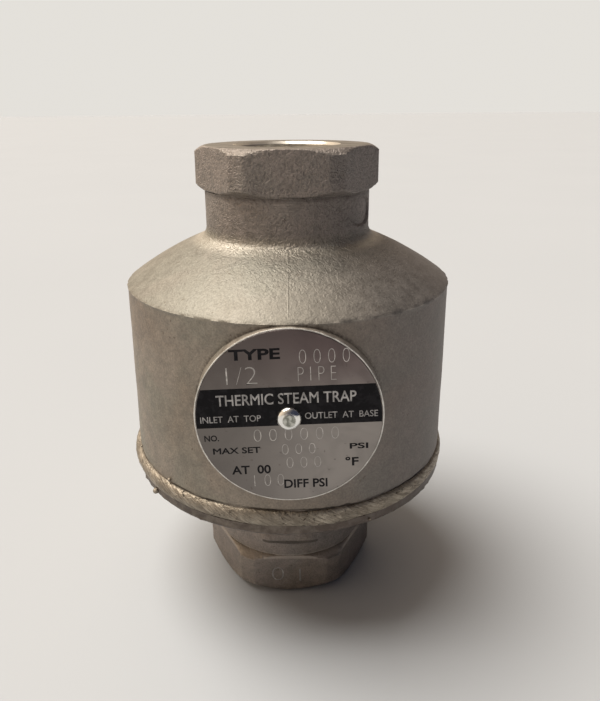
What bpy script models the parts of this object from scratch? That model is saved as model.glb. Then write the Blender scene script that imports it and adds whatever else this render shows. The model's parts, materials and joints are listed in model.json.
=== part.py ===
"""Vertical in-line thermostatic steam trap with a welded body, in metres, +Z up.

The trap stands on its outlet face at z = 0, with its axis on the Z axis and its nameplate facing -Y.
Steam and condensate enter at the top and leave at the bottom. A stack of bimetal leaves grows as it
heats and lifts the stem, which pulls the plug up against the underside of the seat.
"""

from math import asin, cos, pi, radians, sin, sqrt, tan

import bmesh
import bpy
from mathutils import Matrix, Vector

MM = 0.001

# Outside of the body and the cover
BODY_DIAMETER = 67.0 * MM
BARREL_LENGTH = 35.4 * MM
NECK_DIAMETER = 33.9 * MM
INLET_NECK_LENGTH = 7.55 * MM
OUTLET_NECK_LENGTH = 7.3 * MM
RIM_OVERHANG = 0.2 * MM
RIM_HEIGHT = 1.5 * MM
WELD_WIDTH = 3.0 * MM
WELD_CROWN = 0.8 * MM

# The crowned shoulder of the body, and the same curve turned over for the cover's dish
NECK_FILLET = 2.4 * MM
EDGE_ROUND = 0.9 * MM
CROWN_INNER_SLOPE = radians(22)
CROWN_OUTER_SLOPE = radians(36)

# The two threaded hexagonal ports
HEX_ACROSS_FLATS = 34.0 * MM
HEX_CORNER_DIAMETER = 37.5 * MM
HEX_CHAMFER_STAND = 0.15 * MM
INLET_HEX_HEIGHT = 8.8 * MM
OUTLET_HEX_HEIGHT = 9.7 * MM
HEX_CHAMFER_SLOPE = radians(33)
OUTLET_CHAMFER_SLOPE = radians(40)
OUTLET_FACE_DIAMETER = 31.8 * MM
THREAD_MOUTH_DIAMETER = 22.0 * MM
THREAD_BORE_DIAMETER = 19.4 * MM
THREAD_DEPTH = 14.0 * MM
THREAD_TAPER = 1 / 32
INLET_PASSAGE_DIAMETER = 16.0 * MM
DRILL_SLOPE = radians(30)

# Walls and the joint between the two castings
WALL = 4.2 * MM
SPIGOT_WALL = 3.0 * MM
SPIGOT_HEIGHT = 4.6 * MM
WELD_LAND = 1.7 * MM

# Nameplate and what holds it
BOSS_LOWER_MARGIN = 3.0 * MM
BOSS_STAND = 0.25 * MM
BOSS_BORDER = 0.25 * MM
PLATE_THICKNESS = 0.45 * MM
PIN_DIAMETER = 2.0 * MM
PIN_LENGTH = 3.0 * MM
PIN_HEAD_DIAMETER = 4.4 * MM
PIN_HEAD_HEIGHT = 0.8 * MM

# Marks left by the casting pattern
GATE_PAD_WIDTH = 11.8 * MM
GATE_PAD_HEIGHT = 2.6 * MM
GATE_PAD_STAND = 0.8 * MM
MARK_PAD_WIDTH = 10.0 * MM
MARK_PAD_HEIGHT = 5.6 * MM
MARK_PAD_DEPTH = 0.6 * MM
MARK_PAD_BEARING = radians(61)

# Valve
STEM_DIAMETER = 2.5 * MM
ORIFICE_DIAMETER = 4.8 * MM
VALVE_TRAVEL = 2.4 * MM
PLUG_DIAMETER = 7.2 * MM
PLUG_SKIRT = 3.4 * MM
PLUG_CONE_SLOPE = radians(50)
SEATING_GAP = 0.1 * MM
SEAT_SHANK_DIAMETER = 13.8 * MM
SEAT_SHANK_LENGTH = 9.6 * MM
SEAT_HEX_FLATS = 19.0 * MM
SEAT_HEX_HEIGHT = 3.0 * MM
SEAT_COLLAR_DIAMETER = 12.0 * MM
SEAT_COLLAR_HEIGHT = 1.2 * MM
SEAT_COUNTERBORE_DIAMETER = 9.2 * MM
ORIFICE_LENGTH = 4.6 * MM
GASKET_THICKNESS = 0.8 * MM
GASKET_BAND = 2.4 * MM

# Bimetal element
LEAF_COUNT = 8
LEAF_THICKNESS = 0.9 * MM
LEAF_DIAMETER = 30.0 * MM
LEAF_SIDE_DISTANCE = 10.4 * MM
WASHER_THICKNESS = 1.0 * MM
WASHER_DIAMETER = 14.0 * MM
SPRING_WIRE = 0.9 * MM
SPRING_DIAMETER = 8.6 * MM
SPRING_TURNS = 4
SPRING_HEIGHT = 6.2 * MM
NUT_FLATS = 5.5 * MM
ADJUSTING_NUT_HEIGHT = 2.6 * MM
LOCK_NUT_HEIGHT = 1.8 * MM
STEM_PROUD = 0.8 * MM

# Strainer
STRAINER_CLEARANCE = 2.6 * MM
SCREEN_WALL = 0.6 * MM
SCREEN_HOLE_DIAMETER = 4.0 * MM
SCREEN_HOLES_ROUND = 12
SCREEN_ROW_PITCH = 7.0 * MM
CHANNEL_WALL = 0.6 * MM
CHANNEL_LIP = 2.6 * MM
CEILING_CLEARANCE = 1.5 * MM
FLOOR_MARGIN = 0.8 * MM

# Space kept between pieces that touch, and how finely curves are divided
GAP = 0.3 * MM
SEGMENTS = 48
SMALL_SEGMENTS = 24
LEAF_SEGMENTS = 36
ARC_STEPS = 4
EDGE_STEPS = 2
TINY = 0.00001

# Radii
BODY_R = BODY_DIAMETER / 2
NECK_R = NECK_DIAMETER / 2
RIM_R = BODY_R + RIM_OVERHANG
CHAMBER_R = BODY_R - WALL
SPIGOT_R = CHAMBER_R - GAP
SPIGOT_BORE_R = SPIGOT_R - SPIGOT_WALL
STEM_R = STEM_DIAMETER / 2
STEM_HOLE_R = STEM_R + GAP
LEAF_R = LEAF_DIAMETER / 2
SCREEN_BORE_R = LEAF_R + STRAINER_CLEARANCE
SCREEN_R = SCREEN_BORE_R + SCREEN_WALL
STRAINER_R = SCREEN_R + GAP + CHANNEL_WALL
FLOOR_R = STRAINER_R + FLOOR_MARGIN


def crown(neck_r, edge_r):
    """Radius of the crown arc, and where its ends lie below its highest possible point."""
    start_r = neck_r + NECK_FILLET * (1 - sin(CROWN_INNER_SLOPE))
    end_r = edge_r - EDGE_ROUND * (1 - sin(CROWN_OUTER_SLOPE))
    arc_r = (end_r - start_r) / (sin(CROWN_OUTER_SLOPE) - sin(CROWN_INNER_SLOPE))
    return arc_r, start_r


def shoulder_height(edge_r):
    """Height from the start of the neck fillet down to the start of the straight side."""
    arc_r, _ = crown(NECK_R, edge_r)
    fillet = NECK_FILLET * cos(CROWN_INNER_SLOPE)
    edge = EDGE_ROUND * cos(CROWN_OUTER_SLOPE)
    return fillet + arc_r * (cos(CROWN_INNER_SLOPE) - cos(CROWN_OUTER_SLOPE)) + edge


def shoulder_points(edge_r):
    """Points (radius, drop) of the shoulder: neck fillet, crown, then the rounded outer edge."""
    arc_r, start_r = crown(NECK_R, edge_r)
    points = []
    for step in range(ARC_STEPS + 1):
        slope = pi / 2 + (CROWN_INNER_SLOPE - pi / 2) * step / ARC_STEPS
        points.append((NECK_R + NECK_FILLET * (1 - sin(slope)), NECK_FILLET * cos(slope)))
    fillet = NECK_FILLET * cos(CROWN_INNER_SLOPE)
    for step in range(1, ARC_STEPS + 1):
        slope = CROWN_INNER_SLOPE + (CROWN_OUTER_SLOPE - CROWN_INNER_SLOPE) * step / ARC_STEPS
        r = start_r + arc_r * (sin(slope) - sin(CROWN_INNER_SLOPE))
        points.append((r, fillet + arc_r * (cos(CROWN_INNER_SLOPE) - cos(slope))))
    crown_end = points[-1][1]
    for step in range(1, EDGE_STEPS + 1):
        slope = CROWN_OUTER_SLOPE + (pi / 2 - CROWN_OUTER_SLOPE) * step / EDGE_STEPS
        r = edge_r - EDGE_ROUND * (1 - sin(slope))
        points.append((r, crown_end + EDGE_ROUND * (cos(CROWN_OUTER_SLOPE) - cos(slope))))
    return points


def inner_drop(edge_r, r):
    """Drop of the casting's inner surface below the start of the neck fillet, at a radius."""
    arc_r, start_r = crown(NECK_R, edge_r)
    centre_r = start_r - arc_r * sin(CROWN_INNER_SLOPE)
    centre_drop = NECK_FILLET * cos(CROWN_INNER_SLOPE) + arc_r * cos(CROWN_INNER_SLOPE)
    slope = asin((r - centre_r) / (arc_r - WALL))
    return centre_drop - (arc_r - WALL) * cos(slope)


# Heights, added up from the outlet face
OUTLET_NECK_Z = OUTLET_HEX_HEIGHT
DISH_Z = OUTLET_NECK_Z + OUTLET_NECK_LENGTH
RIM_Z = DISH_Z + shoulder_height(RIM_R)
WELD_Z = RIM_Z + RIM_HEIGHT
BARREL_Z = WELD_Z + WELD_WIDTH
SHOULDER_Z = BARREL_Z + BARREL_LENGTH
INLET_NECK_Z = SHOULDER_Z + shoulder_height(BODY_R)
INLET_HEX_Z = INLET_NECK_Z + INLET_NECK_LENGTH
INLET_FACE_Z = INLET_HEX_Z + INLET_HEX_HEIGHT
WELD_MIDDLE_Z = WELD_Z + WELD_WIDTH / 2
WELD_ROOT_R = CHAMBER_R + WELD_LAND

FLOOR_Z = DISH_Z + inner_drop(RIM_R, FLOOR_R)
CEILING_Z = INLET_NECK_Z - inner_drop(BODY_R, STRAINER_R)

# Heights of the valve and the element, each standing on the one below it
GASKET_Z = FLOOR_Z + GAP
SEAT_HEX_Z = GASKET_Z + GASKET_THICKNESS + GAP
SEAT_COLLAR_Z = SEAT_HEX_Z + SEAT_HEX_HEIGHT
SEAT_TOP_Z = SEAT_COLLAR_Z + SEAT_COLLAR_HEIGHT
SEAT_FOOT_Z = SEAT_HEX_Z - SEAT_SHANK_LENGTH
ORIFICE_Z = SEAT_TOP_Z - ORIFICE_LENGTH
BASE_WASHER_Z = SEAT_TOP_Z + GAP
STACK_Z = BASE_WASHER_Z + WASHER_THICKNESS + GAP
LEAF_PITCH = LEAF_THICKNESS + GAP
TOP_WASHER_Z = STACK_Z + LEAF_COUNT * LEAF_PITCH
SPRING_Z = TOP_WASHER_Z + WASHER_THICKNESS + GAP
SPRING_CAP_Z = SPRING_Z + SPRING_HEIGHT + GAP
ADJUSTING_NUT_Z = SPRING_CAP_Z + WASHER_THICKNESS + GAP
LOCK_NUT_Z = ADJUSTING_NUT_Z + ADJUSTING_NUT_HEIGHT + GAP
STEM_TOP_Z = LOCK_NUT_Z + LOCK_NUT_HEIGHT + STEM_PROUD
ORIFICE_EDGE_Z = ORIFICE_Z - VALVE_TRAVEL - SEATING_GAP
PLUG_TOP_Z = ORIFICE_EDGE_Z + (ORIFICE_DIAMETER / 2 - STEM_HOLE_R) * tan(PLUG_CONE_SLOPE)
PLUG_SHOULDER_Z = ORIFICE_EDGE_Z - (PLUG_DIAMETER - ORIFICE_DIAMETER) / 2 * tan(PLUG_CONE_SLOPE)
PLUG_FOOT_Z = PLUG_SHOULDER_Z - PLUG_SKIRT
STEM_FOOT_Z = PLUG_FOOT_Z + 2 * GAP + WASHER_THICKNESS

STRAINER_FOOT_Z = FLOOR_Z + GAP
SCREEN_FOOT_Z = STRAINER_FOOT_Z + CHANNEL_WALL + GAP
STRAINER_TOP_Z = CEILING_Z - CEILING_CLEARANCE
SCREEN_TOP_Z = STRAINER_TOP_Z - CHANNEL_WALL - GAP

# Nameplate, on the middle of its boss
BOSS_R = (BARREL_LENGTH - BOSS_LOWER_MARGIN) / 2
BOSS_Z = SHOULDER_Z - BOSS_R
BOSS_FACE_Y = -(BODY_R + BOSS_STAND)
PLATE_R = BOSS_R - BOSS_BORDER
PLATE_BACK_Y = BOSS_FACE_Y - GAP
PIN_HOLE_R = PIN_DIAMETER / 2 + GAP


def new_collection(name):
    collection = bpy.data.collections.new(name)
    bpy.context.scene.collection.children.link(collection)
    return collection


def new_material(name, colour, roughness, metallic):
    material = bpy.data.materials.new(name)
    material.use_nodes = True
    shader = material.node_tree.nodes["Principled BSDF"]
    shader.inputs["Base Color"].default_value = (*colour, 1.0)
    shader.inputs["Roughness"].default_value = roughness
    shader.inputs["Metallic"].default_value = metallic
    return material


def place(obj, collection, material=None):
    """Put an object in one collection, and hide it when it is only a cutter."""
    for other in list(obj.users_collection):
        other.objects.unlink(obj)
    collection.objects.link(obj)
    if material is None:
        obj.hide_render = True
        obj.display_type = "WIRE"
    else:
        obj.data.materials.append(material)


def turned(name, profile, collection, material=None, steps=SEGMENTS):
    """Turn a profile of (radius, height) points round Z. It runs down the outer side first.

    A profile that starts on the axis ends on it. Any other profile is closed into a ring.
    """
    mesh = bpy.data.meshes.new(name)
    points = [(r, 0.0, z) for r, z in profile]
    edges = [(i, i + 1) for i in range(len(points) - 1)]
    if profile[0][0] > 0.0:
        edges.append((len(points) - 1, 0))
    mesh.from_pydata(points, edges, [])
    obj = bpy.data.objects.new(name, mesh)
    place(obj, collection, material)
    screw = obj.modifiers.new("Turn", "SCREW")
    screw.axis = "Z"
    screw.angle = 2 * pi
    screw.steps = steps
    screw.render_steps = steps
    screw.use_merge_vertices = True
    screw.merge_threshold = TINY
    return obj


def rod(name, radius, bottom, top, collection, material=None, steps=SEGMENTS):
    """A solid cylinder on the Z axis."""
    profile = [(0.0, top), (radius, top), (radius, bottom), (0.0, bottom)]
    return turned(name, profile, collection, material, steps)


def ring(name, inner, outer, bottom, top, collection, material=None, steps=SEGMENTS):
    """A flat ring on the Z axis."""
    profile = [(inner, top), (outer, top), (outer, bottom), (inner, bottom)]
    return turned(name, profile, collection, material, steps)


def prism(name, sides, inner_radius, bottom, top, collection, material=None, turn=0.0):
    """A regular prism on the Z axis. With no turn, a flat side faces -Y."""
    bm = bmesh.new()
    outer_radius = inner_radius / cos(pi / sides)
    bmesh.ops.create_cone(
        bm, cap_ends=True, segments=sides, radius1=outer_radius, radius2=outer_radius, depth=top - bottom
    )
    first_corner = min(bm.verts, key=lambda vert: (vert.co.z, -vert.co.x, vert.co.y)).co
    start = Vector((first_corner.x, first_corner.y)).angle_signed(Vector((0.0, -1.0)))
    bmesh.ops.rotate(bm, verts=bm.verts, matrix=Matrix.Rotation(-start + pi / sides + turn, 3, "Z"))
    bmesh.ops.translate(bm, verts=bm.verts, vec=(0.0, 0.0, (top + bottom) / 2))
    mesh = bpy.data.meshes.new(name)
    bm.to_mesh(mesh)
    bm.free()
    obj = bpy.data.objects.new(name, mesh)
    place(obj, collection, material)
    return obj


def combine(obj, other, operation):
    boolean = obj.modifiers.new(other.name, "BOOLEAN")
    boolean.operation = operation
    boolean.object = other
    boolean.solver = "EXACT"


def port_bore(face_z, into, passage_r):
    """Points of a threaded port from outside its face to its passage.

    They are the lead-in chamfer, the tapered thread bore and the cone that the drill leaves.
    """
    bore_r = THREAD_BORE_DIAMETER / 2
    lead = THREAD_MOUTH_DIAMETER / 2 - bore_r
    end_r = bore_r - (THREAD_DEPTH - lead) * THREAD_TAPER
    cone = (end_r - passage_r) * tan(DRILL_SLOPE)
    return [
        (0.0, face_z - into * lead),
        (bore_r + 2 * lead, face_z - into * lead),
        (bore_r, face_z + into * lead),
        (end_r, face_z + into * THREAD_DEPTH),
        (passage_r, face_z + into * (THREAD_DEPTH + cone)),
    ]


def inlet_body(parts, cutters, material):
    shoulder = [(r, INLET_NECK_Z - drop) for r, drop in shoulder_points(BODY_R)]
    body_root_z = WELD_MIDDLE_Z + GAP / 2
    outside = [(0.0, INLET_HEX_Z + INLET_HEX_HEIGHT / 2), (NECK_R, INLET_HEX_Z + INLET_HEX_HEIGHT / 2)]
    outside += shoulder
    outside += [(BODY_R, BARREL_Z), (WELD_ROOT_R, body_root_z), (0.0, body_root_z)]
    body = turned("inlet_body", outside, parts, material)

    port = prism("inlet_hexagon", 6, HEX_ACROSS_FLATS / 2, INLET_HEX_Z, INLET_FACE_Z, cutters)
    corner_r = HEX_CORNER_DIAMETER / 2
    chamfer_r = HEX_ACROSS_FLATS / 2 + HEX_CHAMFER_STAND
    fall = (corner_r - chamfer_r) * tan(HEX_CHAMFER_SLOPE)
    envelope = [
        (0.0, INLET_FACE_Z + GAP),
        (chamfer_r, INLET_FACE_Z + GAP),
        (chamfer_r, INLET_FACE_Z),
        (corner_r, INLET_FACE_Z - fall),
        (corner_r, INLET_HEX_Z + fall),
        (chamfer_r, INLET_HEX_Z),
        (chamfer_r, INLET_HEX_Z - GAP),
        (0.0, INLET_HEX_Z - GAP),
    ]
    combine(port, turned("inlet_hexagon_envelope", envelope, cutters), "INTERSECT")
    combine(body, port, "UNION")

    boss = rod("nameplate_boss", BOSS_R, 0.0, -BOSS_FACE_Y - (BODY_R - 2 * WALL), cutters)
    boss.location = (0.0, -(BODY_R - 2 * WALL), BOSS_Z)
    boss.rotation_euler = (pi / 2, 0.0, 0.0)
    combine(body, boss, "UNION")

    passage_r = INLET_PASSAGE_DIAMETER / 2
    hollow = port_bore(INLET_FACE_Z, -1, passage_r)
    for step in range(ARC_STEPS + 1):
        r = passage_r + (CHAMBER_R - passage_r) * step / ARC_STEPS
        hollow.append((r, INLET_NECK_Z - inner_drop(BODY_R, r)))
    hollow += [(CHAMBER_R, RIM_Z), (0.0, RIM_Z)]
    combine(body, turned("inlet_hollow", hollow, cutters), "DIFFERENCE")

    mark = rod("mark_pad", 0.5, 0.0, NECK_FILLET, cutters, steps=SMALL_SEGMENTS)
    mark.scale = (MARK_PAD_WIDTH, MARK_PAD_HEIGHT, 1.0)
    mark.rotation_euler = (pi / 2, 0.0, MARK_PAD_BEARING)
    distance = sqrt(NECK_R ** 2 - (MARK_PAD_WIDTH / 2) ** 2) - MARK_PAD_DEPTH / 2
    mark_x = distance * sin(MARK_PAD_BEARING)
    mark_y = -distance * cos(MARK_PAD_BEARING)
    mark.location = (mark_x, mark_y, INLET_NECK_Z + INLET_NECK_LENGTH / 2)
    combine(body, mark, "DIFFERENCE")

    pin_hole = rod("pin_hole", PIN_HOLE_R, 0.0, PIN_LENGTH + 2 * GAP, cutters, steps=SMALL_SEGMENTS)
    pin_hole.location = (0.0, BOSS_FACE_Y + PIN_LENGTH + GAP, BOSS_Z)
    pin_hole.rotation_euler = (pi / 2, 0.0, 0.0)
    combine(body, pin_hole, "DIFFERENCE")
    return body


def outlet_cover(parts, cutters, material):
    dish = [(r, DISH_Z + drop) for r, drop in reversed(shoulder_points(RIM_R))]
    cover_root_z = WELD_MIDDLE_Z - GAP / 2
    spigot_top = cover_root_z + SPIGOT_HEIGHT
    outside = [(0.0, spigot_top), (SPIGOT_R, spigot_top), (SPIGOT_R, cover_root_z)]
    outside += [(WELD_ROOT_R, cover_root_z), (RIM_R, WELD_Z)]
    outside += dish
    outside += [(NECK_R, OUTLET_HEX_HEIGHT / 2), (0.0, OUTLET_HEX_HEIGHT / 2)]
    cover = turned("outlet_cover", outside, parts, material)

    port = prism("outlet_hexagon", 6, HEX_ACROSS_FLATS / 2, 0.0, OUTLET_HEX_HEIGHT, cutters)
    corner_r = HEX_CORNER_DIAMETER / 2
    chamfer_r = HEX_ACROSS_FLATS / 2 + HEX_CHAMFER_STAND
    face_r = OUTLET_FACE_DIAMETER / 2
    fall = (corner_r - chamfer_r) * tan(HEX_CHAMFER_SLOPE)
    rise = (corner_r - face_r) * tan(OUTLET_CHAMFER_SLOPE)
    envelope = [
        (0.0, OUTLET_HEX_HEIGHT + GAP),
        (chamfer_r, OUTLET_HEX_HEIGHT + GAP),
        (chamfer_r, OUTLET_HEX_HEIGHT),
        (corner_r, OUTLET_HEX_HEIGHT - fall),
        (corner_r, rise),
        (face_r, 0.0),
        (face_r, -GAP),
        (0.0, -GAP),
    ]
    combine(port, turned("outlet_hexagon_envelope", envelope, cutters), "INTERSECT")
    combine(cover, port, "UNION")

    pad_depth = GATE_PAD_STAND + NECK_FILLET
    pad_mesh = bpy.data.meshes.new("gate_pad")
    bm = bmesh.new()
    bmesh.ops.create_cube(bm, size=1.0)
    bmesh.ops.scale(bm, verts=bm.verts, vec=(GATE_PAD_WIDTH, pad_depth, GATE_PAD_HEIGHT))
    bmesh.ops.translate(
        bm, verts=bm.verts, vec=(0.0, -NECK_R - GATE_PAD_STAND + pad_depth / 2, DISH_Z - GATE_PAD_HEIGHT)
    )
    bm.to_mesh(pad_mesh)
    bm.free()
    pad = bpy.data.objects.new("gate_pad", pad_mesh)
    place(pad, cutters)
    combine(cover, pad, "UNION")

    hollow = [(0.0, spigot_top + GAP), (SPIGOT_BORE_R, spigot_top + GAP)]
    for step in range(ARC_STEPS + 1):
        r = SPIGOT_BORE_R + (FLOOR_R - SPIGOT_BORE_R) * step / ARC_STEPS
        hollow.append((r, DISH_Z + inner_drop(RIM_R, r)))
    seat_hole_r = SEAT_SHANK_DIAMETER / 2 + GAP
    hollow.append((seat_hole_r, FLOOR_Z))
    hollow += reversed(port_bore(0.0, 1, seat_hole_r))
    combine(cover, turned("outlet_hollow", hollow, cutters), "DIFFERENCE")
    return cover


def closure_weld(parts, material):
    """The bead fills the V between the two bevelled castings and stands a little proud."""
    body_slope = (WELD_WIDTH / 2 - GAP / 2) / (BODY_R - WELD_ROOT_R)
    clear = GAP * sqrt(1 + body_slope ** 2) - GAP / 2
    root_r = WELD_ROOT_R + clear / body_slope
    half = (BODY_R - root_r) * body_slope
    profile = []
    for step in range(ARC_STEPS + 1):
        angle = pi / 2 - pi * step / ARC_STEPS
        r = BODY_R + WELD_CROWN * cos(angle)
        profile.append((r, WELD_MIDDLE_Z + half * sin(angle)))
    profile.append((root_r, WELD_MIDDLE_Z))
    return turned("closure_weld", profile, parts, material)


def nameplate(parts, material):
    plate = ring("nameplate", PIN_HOLE_R, PLATE_R, 0.0, PLATE_THICKNESS, parts, material)
    plate.location = (0.0, PLATE_BACK_Y, BOSS_Z)
    plate.rotation_euler = (pi / 2, 0.0, 0.0)
    return plate


def nameplate_pin(parts, material):
    head_r = PIN_HEAD_DIAMETER / 2
    head_foot = PLATE_THICKNESS + 2 * GAP
    dome_r = (head_r ** 2 + PIN_HEAD_HEIGHT ** 2) / (2 * PIN_HEAD_HEIGHT)
    span = asin(head_r / dome_r)
    profile = []
    for step in range(ARC_STEPS + 1):
        angle = span * step / ARC_STEPS
        height = head_foot + PIN_HEAD_HEIGHT - dome_r * (1 - cos(angle))
        profile.append((dome_r * sin(angle), height))
    shank_r = PIN_DIAMETER / 2
    profile += [(shank_r, head_foot), (shank_r, -PIN_LENGTH), (0.0, -PIN_LENGTH)]
    pin = turned("nameplate_pin", profile, parts, material, SMALL_SEGMENTS)
    pin.location = (0.0, BOSS_FACE_Y, BOSS_Z)
    pin.rotation_euler = (pi / 2, 0.0, 0.0)
    return pin


def valve_seat(parts, cutters, material):
    shank_r = SEAT_SHANK_DIAMETER / 2
    collar_r = SEAT_COLLAR_DIAMETER / 2
    outside = [
        (0.0, SEAT_TOP_Z),
        (collar_r, SEAT_TOP_Z),
        (collar_r, SEAT_HEX_Z + SEAT_HEX_HEIGHT / 2),
        (shank_r, SEAT_HEX_Z + SEAT_HEX_HEIGHT / 2),
        (shank_r, SEAT_FOOT_Z),
        (0.0, SEAT_FOOT_Z),
    ]
    seat = turned("valve_seat", outside, parts, material, SMALL_SEGMENTS)
    hexagon = prism("seat_hexagon", 6, SEAT_HEX_FLATS / 2, SEAT_HEX_Z, SEAT_COLLAR_Z, cutters)
    combine(seat, hexagon, "UNION")
    orifice_r = ORIFICE_DIAMETER / 2
    orifice = rod("orifice", orifice_r, SEAT_FOOT_Z, SEAT_TOP_Z + GAP, cutters, steps=SMALL_SEGMENTS)
    combine(seat, orifice, "DIFFERENCE")
    wide_r = SEAT_COUNTERBORE_DIAMETER / 2
    counterbore = rod("counterbore", wide_r, SEAT_FOOT_Z - GAP, ORIFICE_Z, cutters, steps=SMALL_SEGMENTS)
    combine(seat, counterbore, "DIFFERENCE")
    return seat


def valve_stem(parts, material):
    return rod("valve_stem", STEM_R, STEM_FOOT_Z, STEM_TOP_Z, parts, material, SMALL_SEGMENTS)


def valve_plug(parts, material):
    """Conical plug with a blind hole that the stem's foot sits in."""
    plug_r = PLUG_DIAMETER / 2
    profile = [
        (STEM_HOLE_R, PLUG_TOP_Z),
        (plug_r, PLUG_SHOULDER_Z),
        (plug_r, PLUG_FOOT_Z),
        (0.0, PLUG_FOOT_Z),
    ]
    blind = [(0.0, STEM_FOOT_Z - GAP), (STEM_HOLE_R, STEM_FOOT_Z - GAP)]
    return turned("valve_plug", blind + profile, parts, material, SMALL_SEGMENTS)


def bimetal_leaves(parts, cutters, material):
    """Rounded triangular leaves, with every other one turned so that its arms lie between."""
    bottom = STACK_Z - GAP
    top = TOP_WASHER_Z
    upright = prism("leaf_outline_a", 3, LEAF_SIDE_DISTANCE, bottom, top, cutters)
    turned_over = prism("leaf_outline_b", 3, LEAF_SIDE_DISTANCE, bottom, top, cutters, turn=pi / 3)
    hole = rod("leaf_hole", STEM_HOLE_R, bottom, top, cutters, steps=SMALL_SEGMENTS)
    leaves = []
    for number in range(LEAF_COUNT):
        foot = STACK_Z + number * LEAF_PITCH
        name = "bimetal_leaf_" + str(number + 1)
        leaf = rod(name, LEAF_R, foot, foot + LEAF_THICKNESS, parts, material, LEAF_SEGMENTS)
        combine(leaf, turned_over if number % 2 else upright, "INTERSECT")
        combine(leaf, hole, "DIFFERENCE")
        leaves.append(leaf)
    return leaves


def overload_spring(parts, material):
    points_per_turn = 12
    count = SPRING_TURNS * points_per_turn + 1
    wire_r = SPRING_WIRE / 2
    coil_r = SPRING_DIAMETER / 2 - wire_r
    rise = SPRING_HEIGHT - 2 * wire_r
    curve = bpy.data.curves.new("overload_spring", "CURVE")
    curve.dimensions = "3D"
    curve.bevel_depth = wire_r
    curve.bevel_resolution = 2
    curve.use_fill_caps = True
    coil = curve.splines.new("POLY")
    coil.points.add(count - 1)
    for number in range(count):
        angle = 2 * pi * number / points_per_turn
        height = SPRING_Z + wire_r + rise * number / (count - 1)
        coil.points[number].co = (coil_r * cos(angle), coil_r * sin(angle), height, 1.0)
    spring = bpy.data.objects.new("overload_spring", curve)
    place(spring, parts, material)
    return spring


def nut(name, bottom, height, parts, cutters, material):
    top = bottom + height
    obj = prism(name, 6, NUT_FLATS / 2, bottom, top, parts, material)
    hole = rod(name + "_hole", STEM_HOLE_R, bottom - GAP, top + GAP, cutters, steps=SMALL_SEGMENTS)
    combine(obj, hole, "DIFFERENCE")
    return obj


def washer(name, inner, outer, bottom, thickness, parts, material):
    return ring(name, inner, outer, bottom, bottom + thickness, parts, material, SMALL_SEGMENTS)


def strainer_screen(parts, cutters, material):
    """A perforated tube. The rows of holes are staggered by half a pitch."""
    screen = ring("strainer_screen", SCREEN_BORE_R, SCREEN_R, SCREEN_FOOT_Z, SCREEN_TOP_Z, parts, material)
    hole_r = SCREEN_HOLE_DIAMETER / 2
    length = SCREEN_TOP_Z - SCREEN_FOOT_Z - 2 * CHANNEL_LIP
    rows = int(length / SCREEN_ROW_PITCH)
    middle_z = (SCREEN_TOP_Z + SCREEN_FOOT_Z) / 2
    bm = bmesh.new()
    for row in range(rows):
        z = middle_z + (row - (rows - 1) / 2) * SCREEN_ROW_PITCH
        for number in range(SCREEN_HOLES_ROUND):
            angle = 2 * pi * (number + 0.5 * (row % 2)) / SCREEN_HOLES_ROUND
            middle_r = (SCREEN_BORE_R + SCREEN_R) / 2
            matrix = Matrix.Rotation(angle, 4, "Z") @ Matrix.Translation((middle_r, 0.0, z))
            matrix = matrix @ Matrix.Rotation(pi / 2, 4, "Y")
            bmesh.ops.create_cone(
                bm,
                cap_ends=True,
                segments=6,
                radius1=hole_r,
                radius2=hole_r,
                depth=SCREEN_WALL * 4,
                matrix=matrix,
            )
    mesh = bpy.data.meshes.new("screen_holes")
    bm.to_mesh(mesh)
    bm.free()
    holes = bpy.data.objects.new("screen_holes", mesh)
    place(holes, cutters)
    combine(screen, holes, "DIFFERENCE")
    return screen


def strainer_cap(parts, material):
    lip_r = STRAINER_R - CHANNEL_WALL
    profile = [
        (0.0, STRAINER_TOP_Z),
        (STRAINER_R, STRAINER_TOP_Z),
        (STRAINER_R, STRAINER_TOP_Z - CHANNEL_LIP),
        (lip_r, STRAINER_TOP_Z - CHANNEL_LIP),
        (lip_r, STRAINER_TOP_Z - CHANNEL_WALL),
        (0.0, STRAINER_TOP_Z - CHANNEL_WALL),
    ]
    return turned("strainer_cap", profile, parts, material)


def strainer_base_ring(parts, material):
    """A channel with an inner and an outer lip, which the screen stands in."""
    groove_outer = SCREEN_R + GAP
    groove_inner = SCREEN_BORE_R - GAP
    inner = groove_inner - CHANNEL_WALL
    lip_top = STRAINER_FOOT_Z + CHANNEL_LIP
    groove_z = STRAINER_FOOT_Z + CHANNEL_WALL
    profile = [
        (groove_outer, lip_top),
        (STRAINER_R, lip_top),
        (STRAINER_R, STRAINER_FOOT_Z),
        (inner, STRAINER_FOOT_Z),
        (inner, lip_top),
        (groove_inner, lip_top),
        (groove_inner, groove_z),
        (groove_outer, groove_z),
    ]
    return turned("strainer_base_ring", profile, parts, material)


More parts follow.
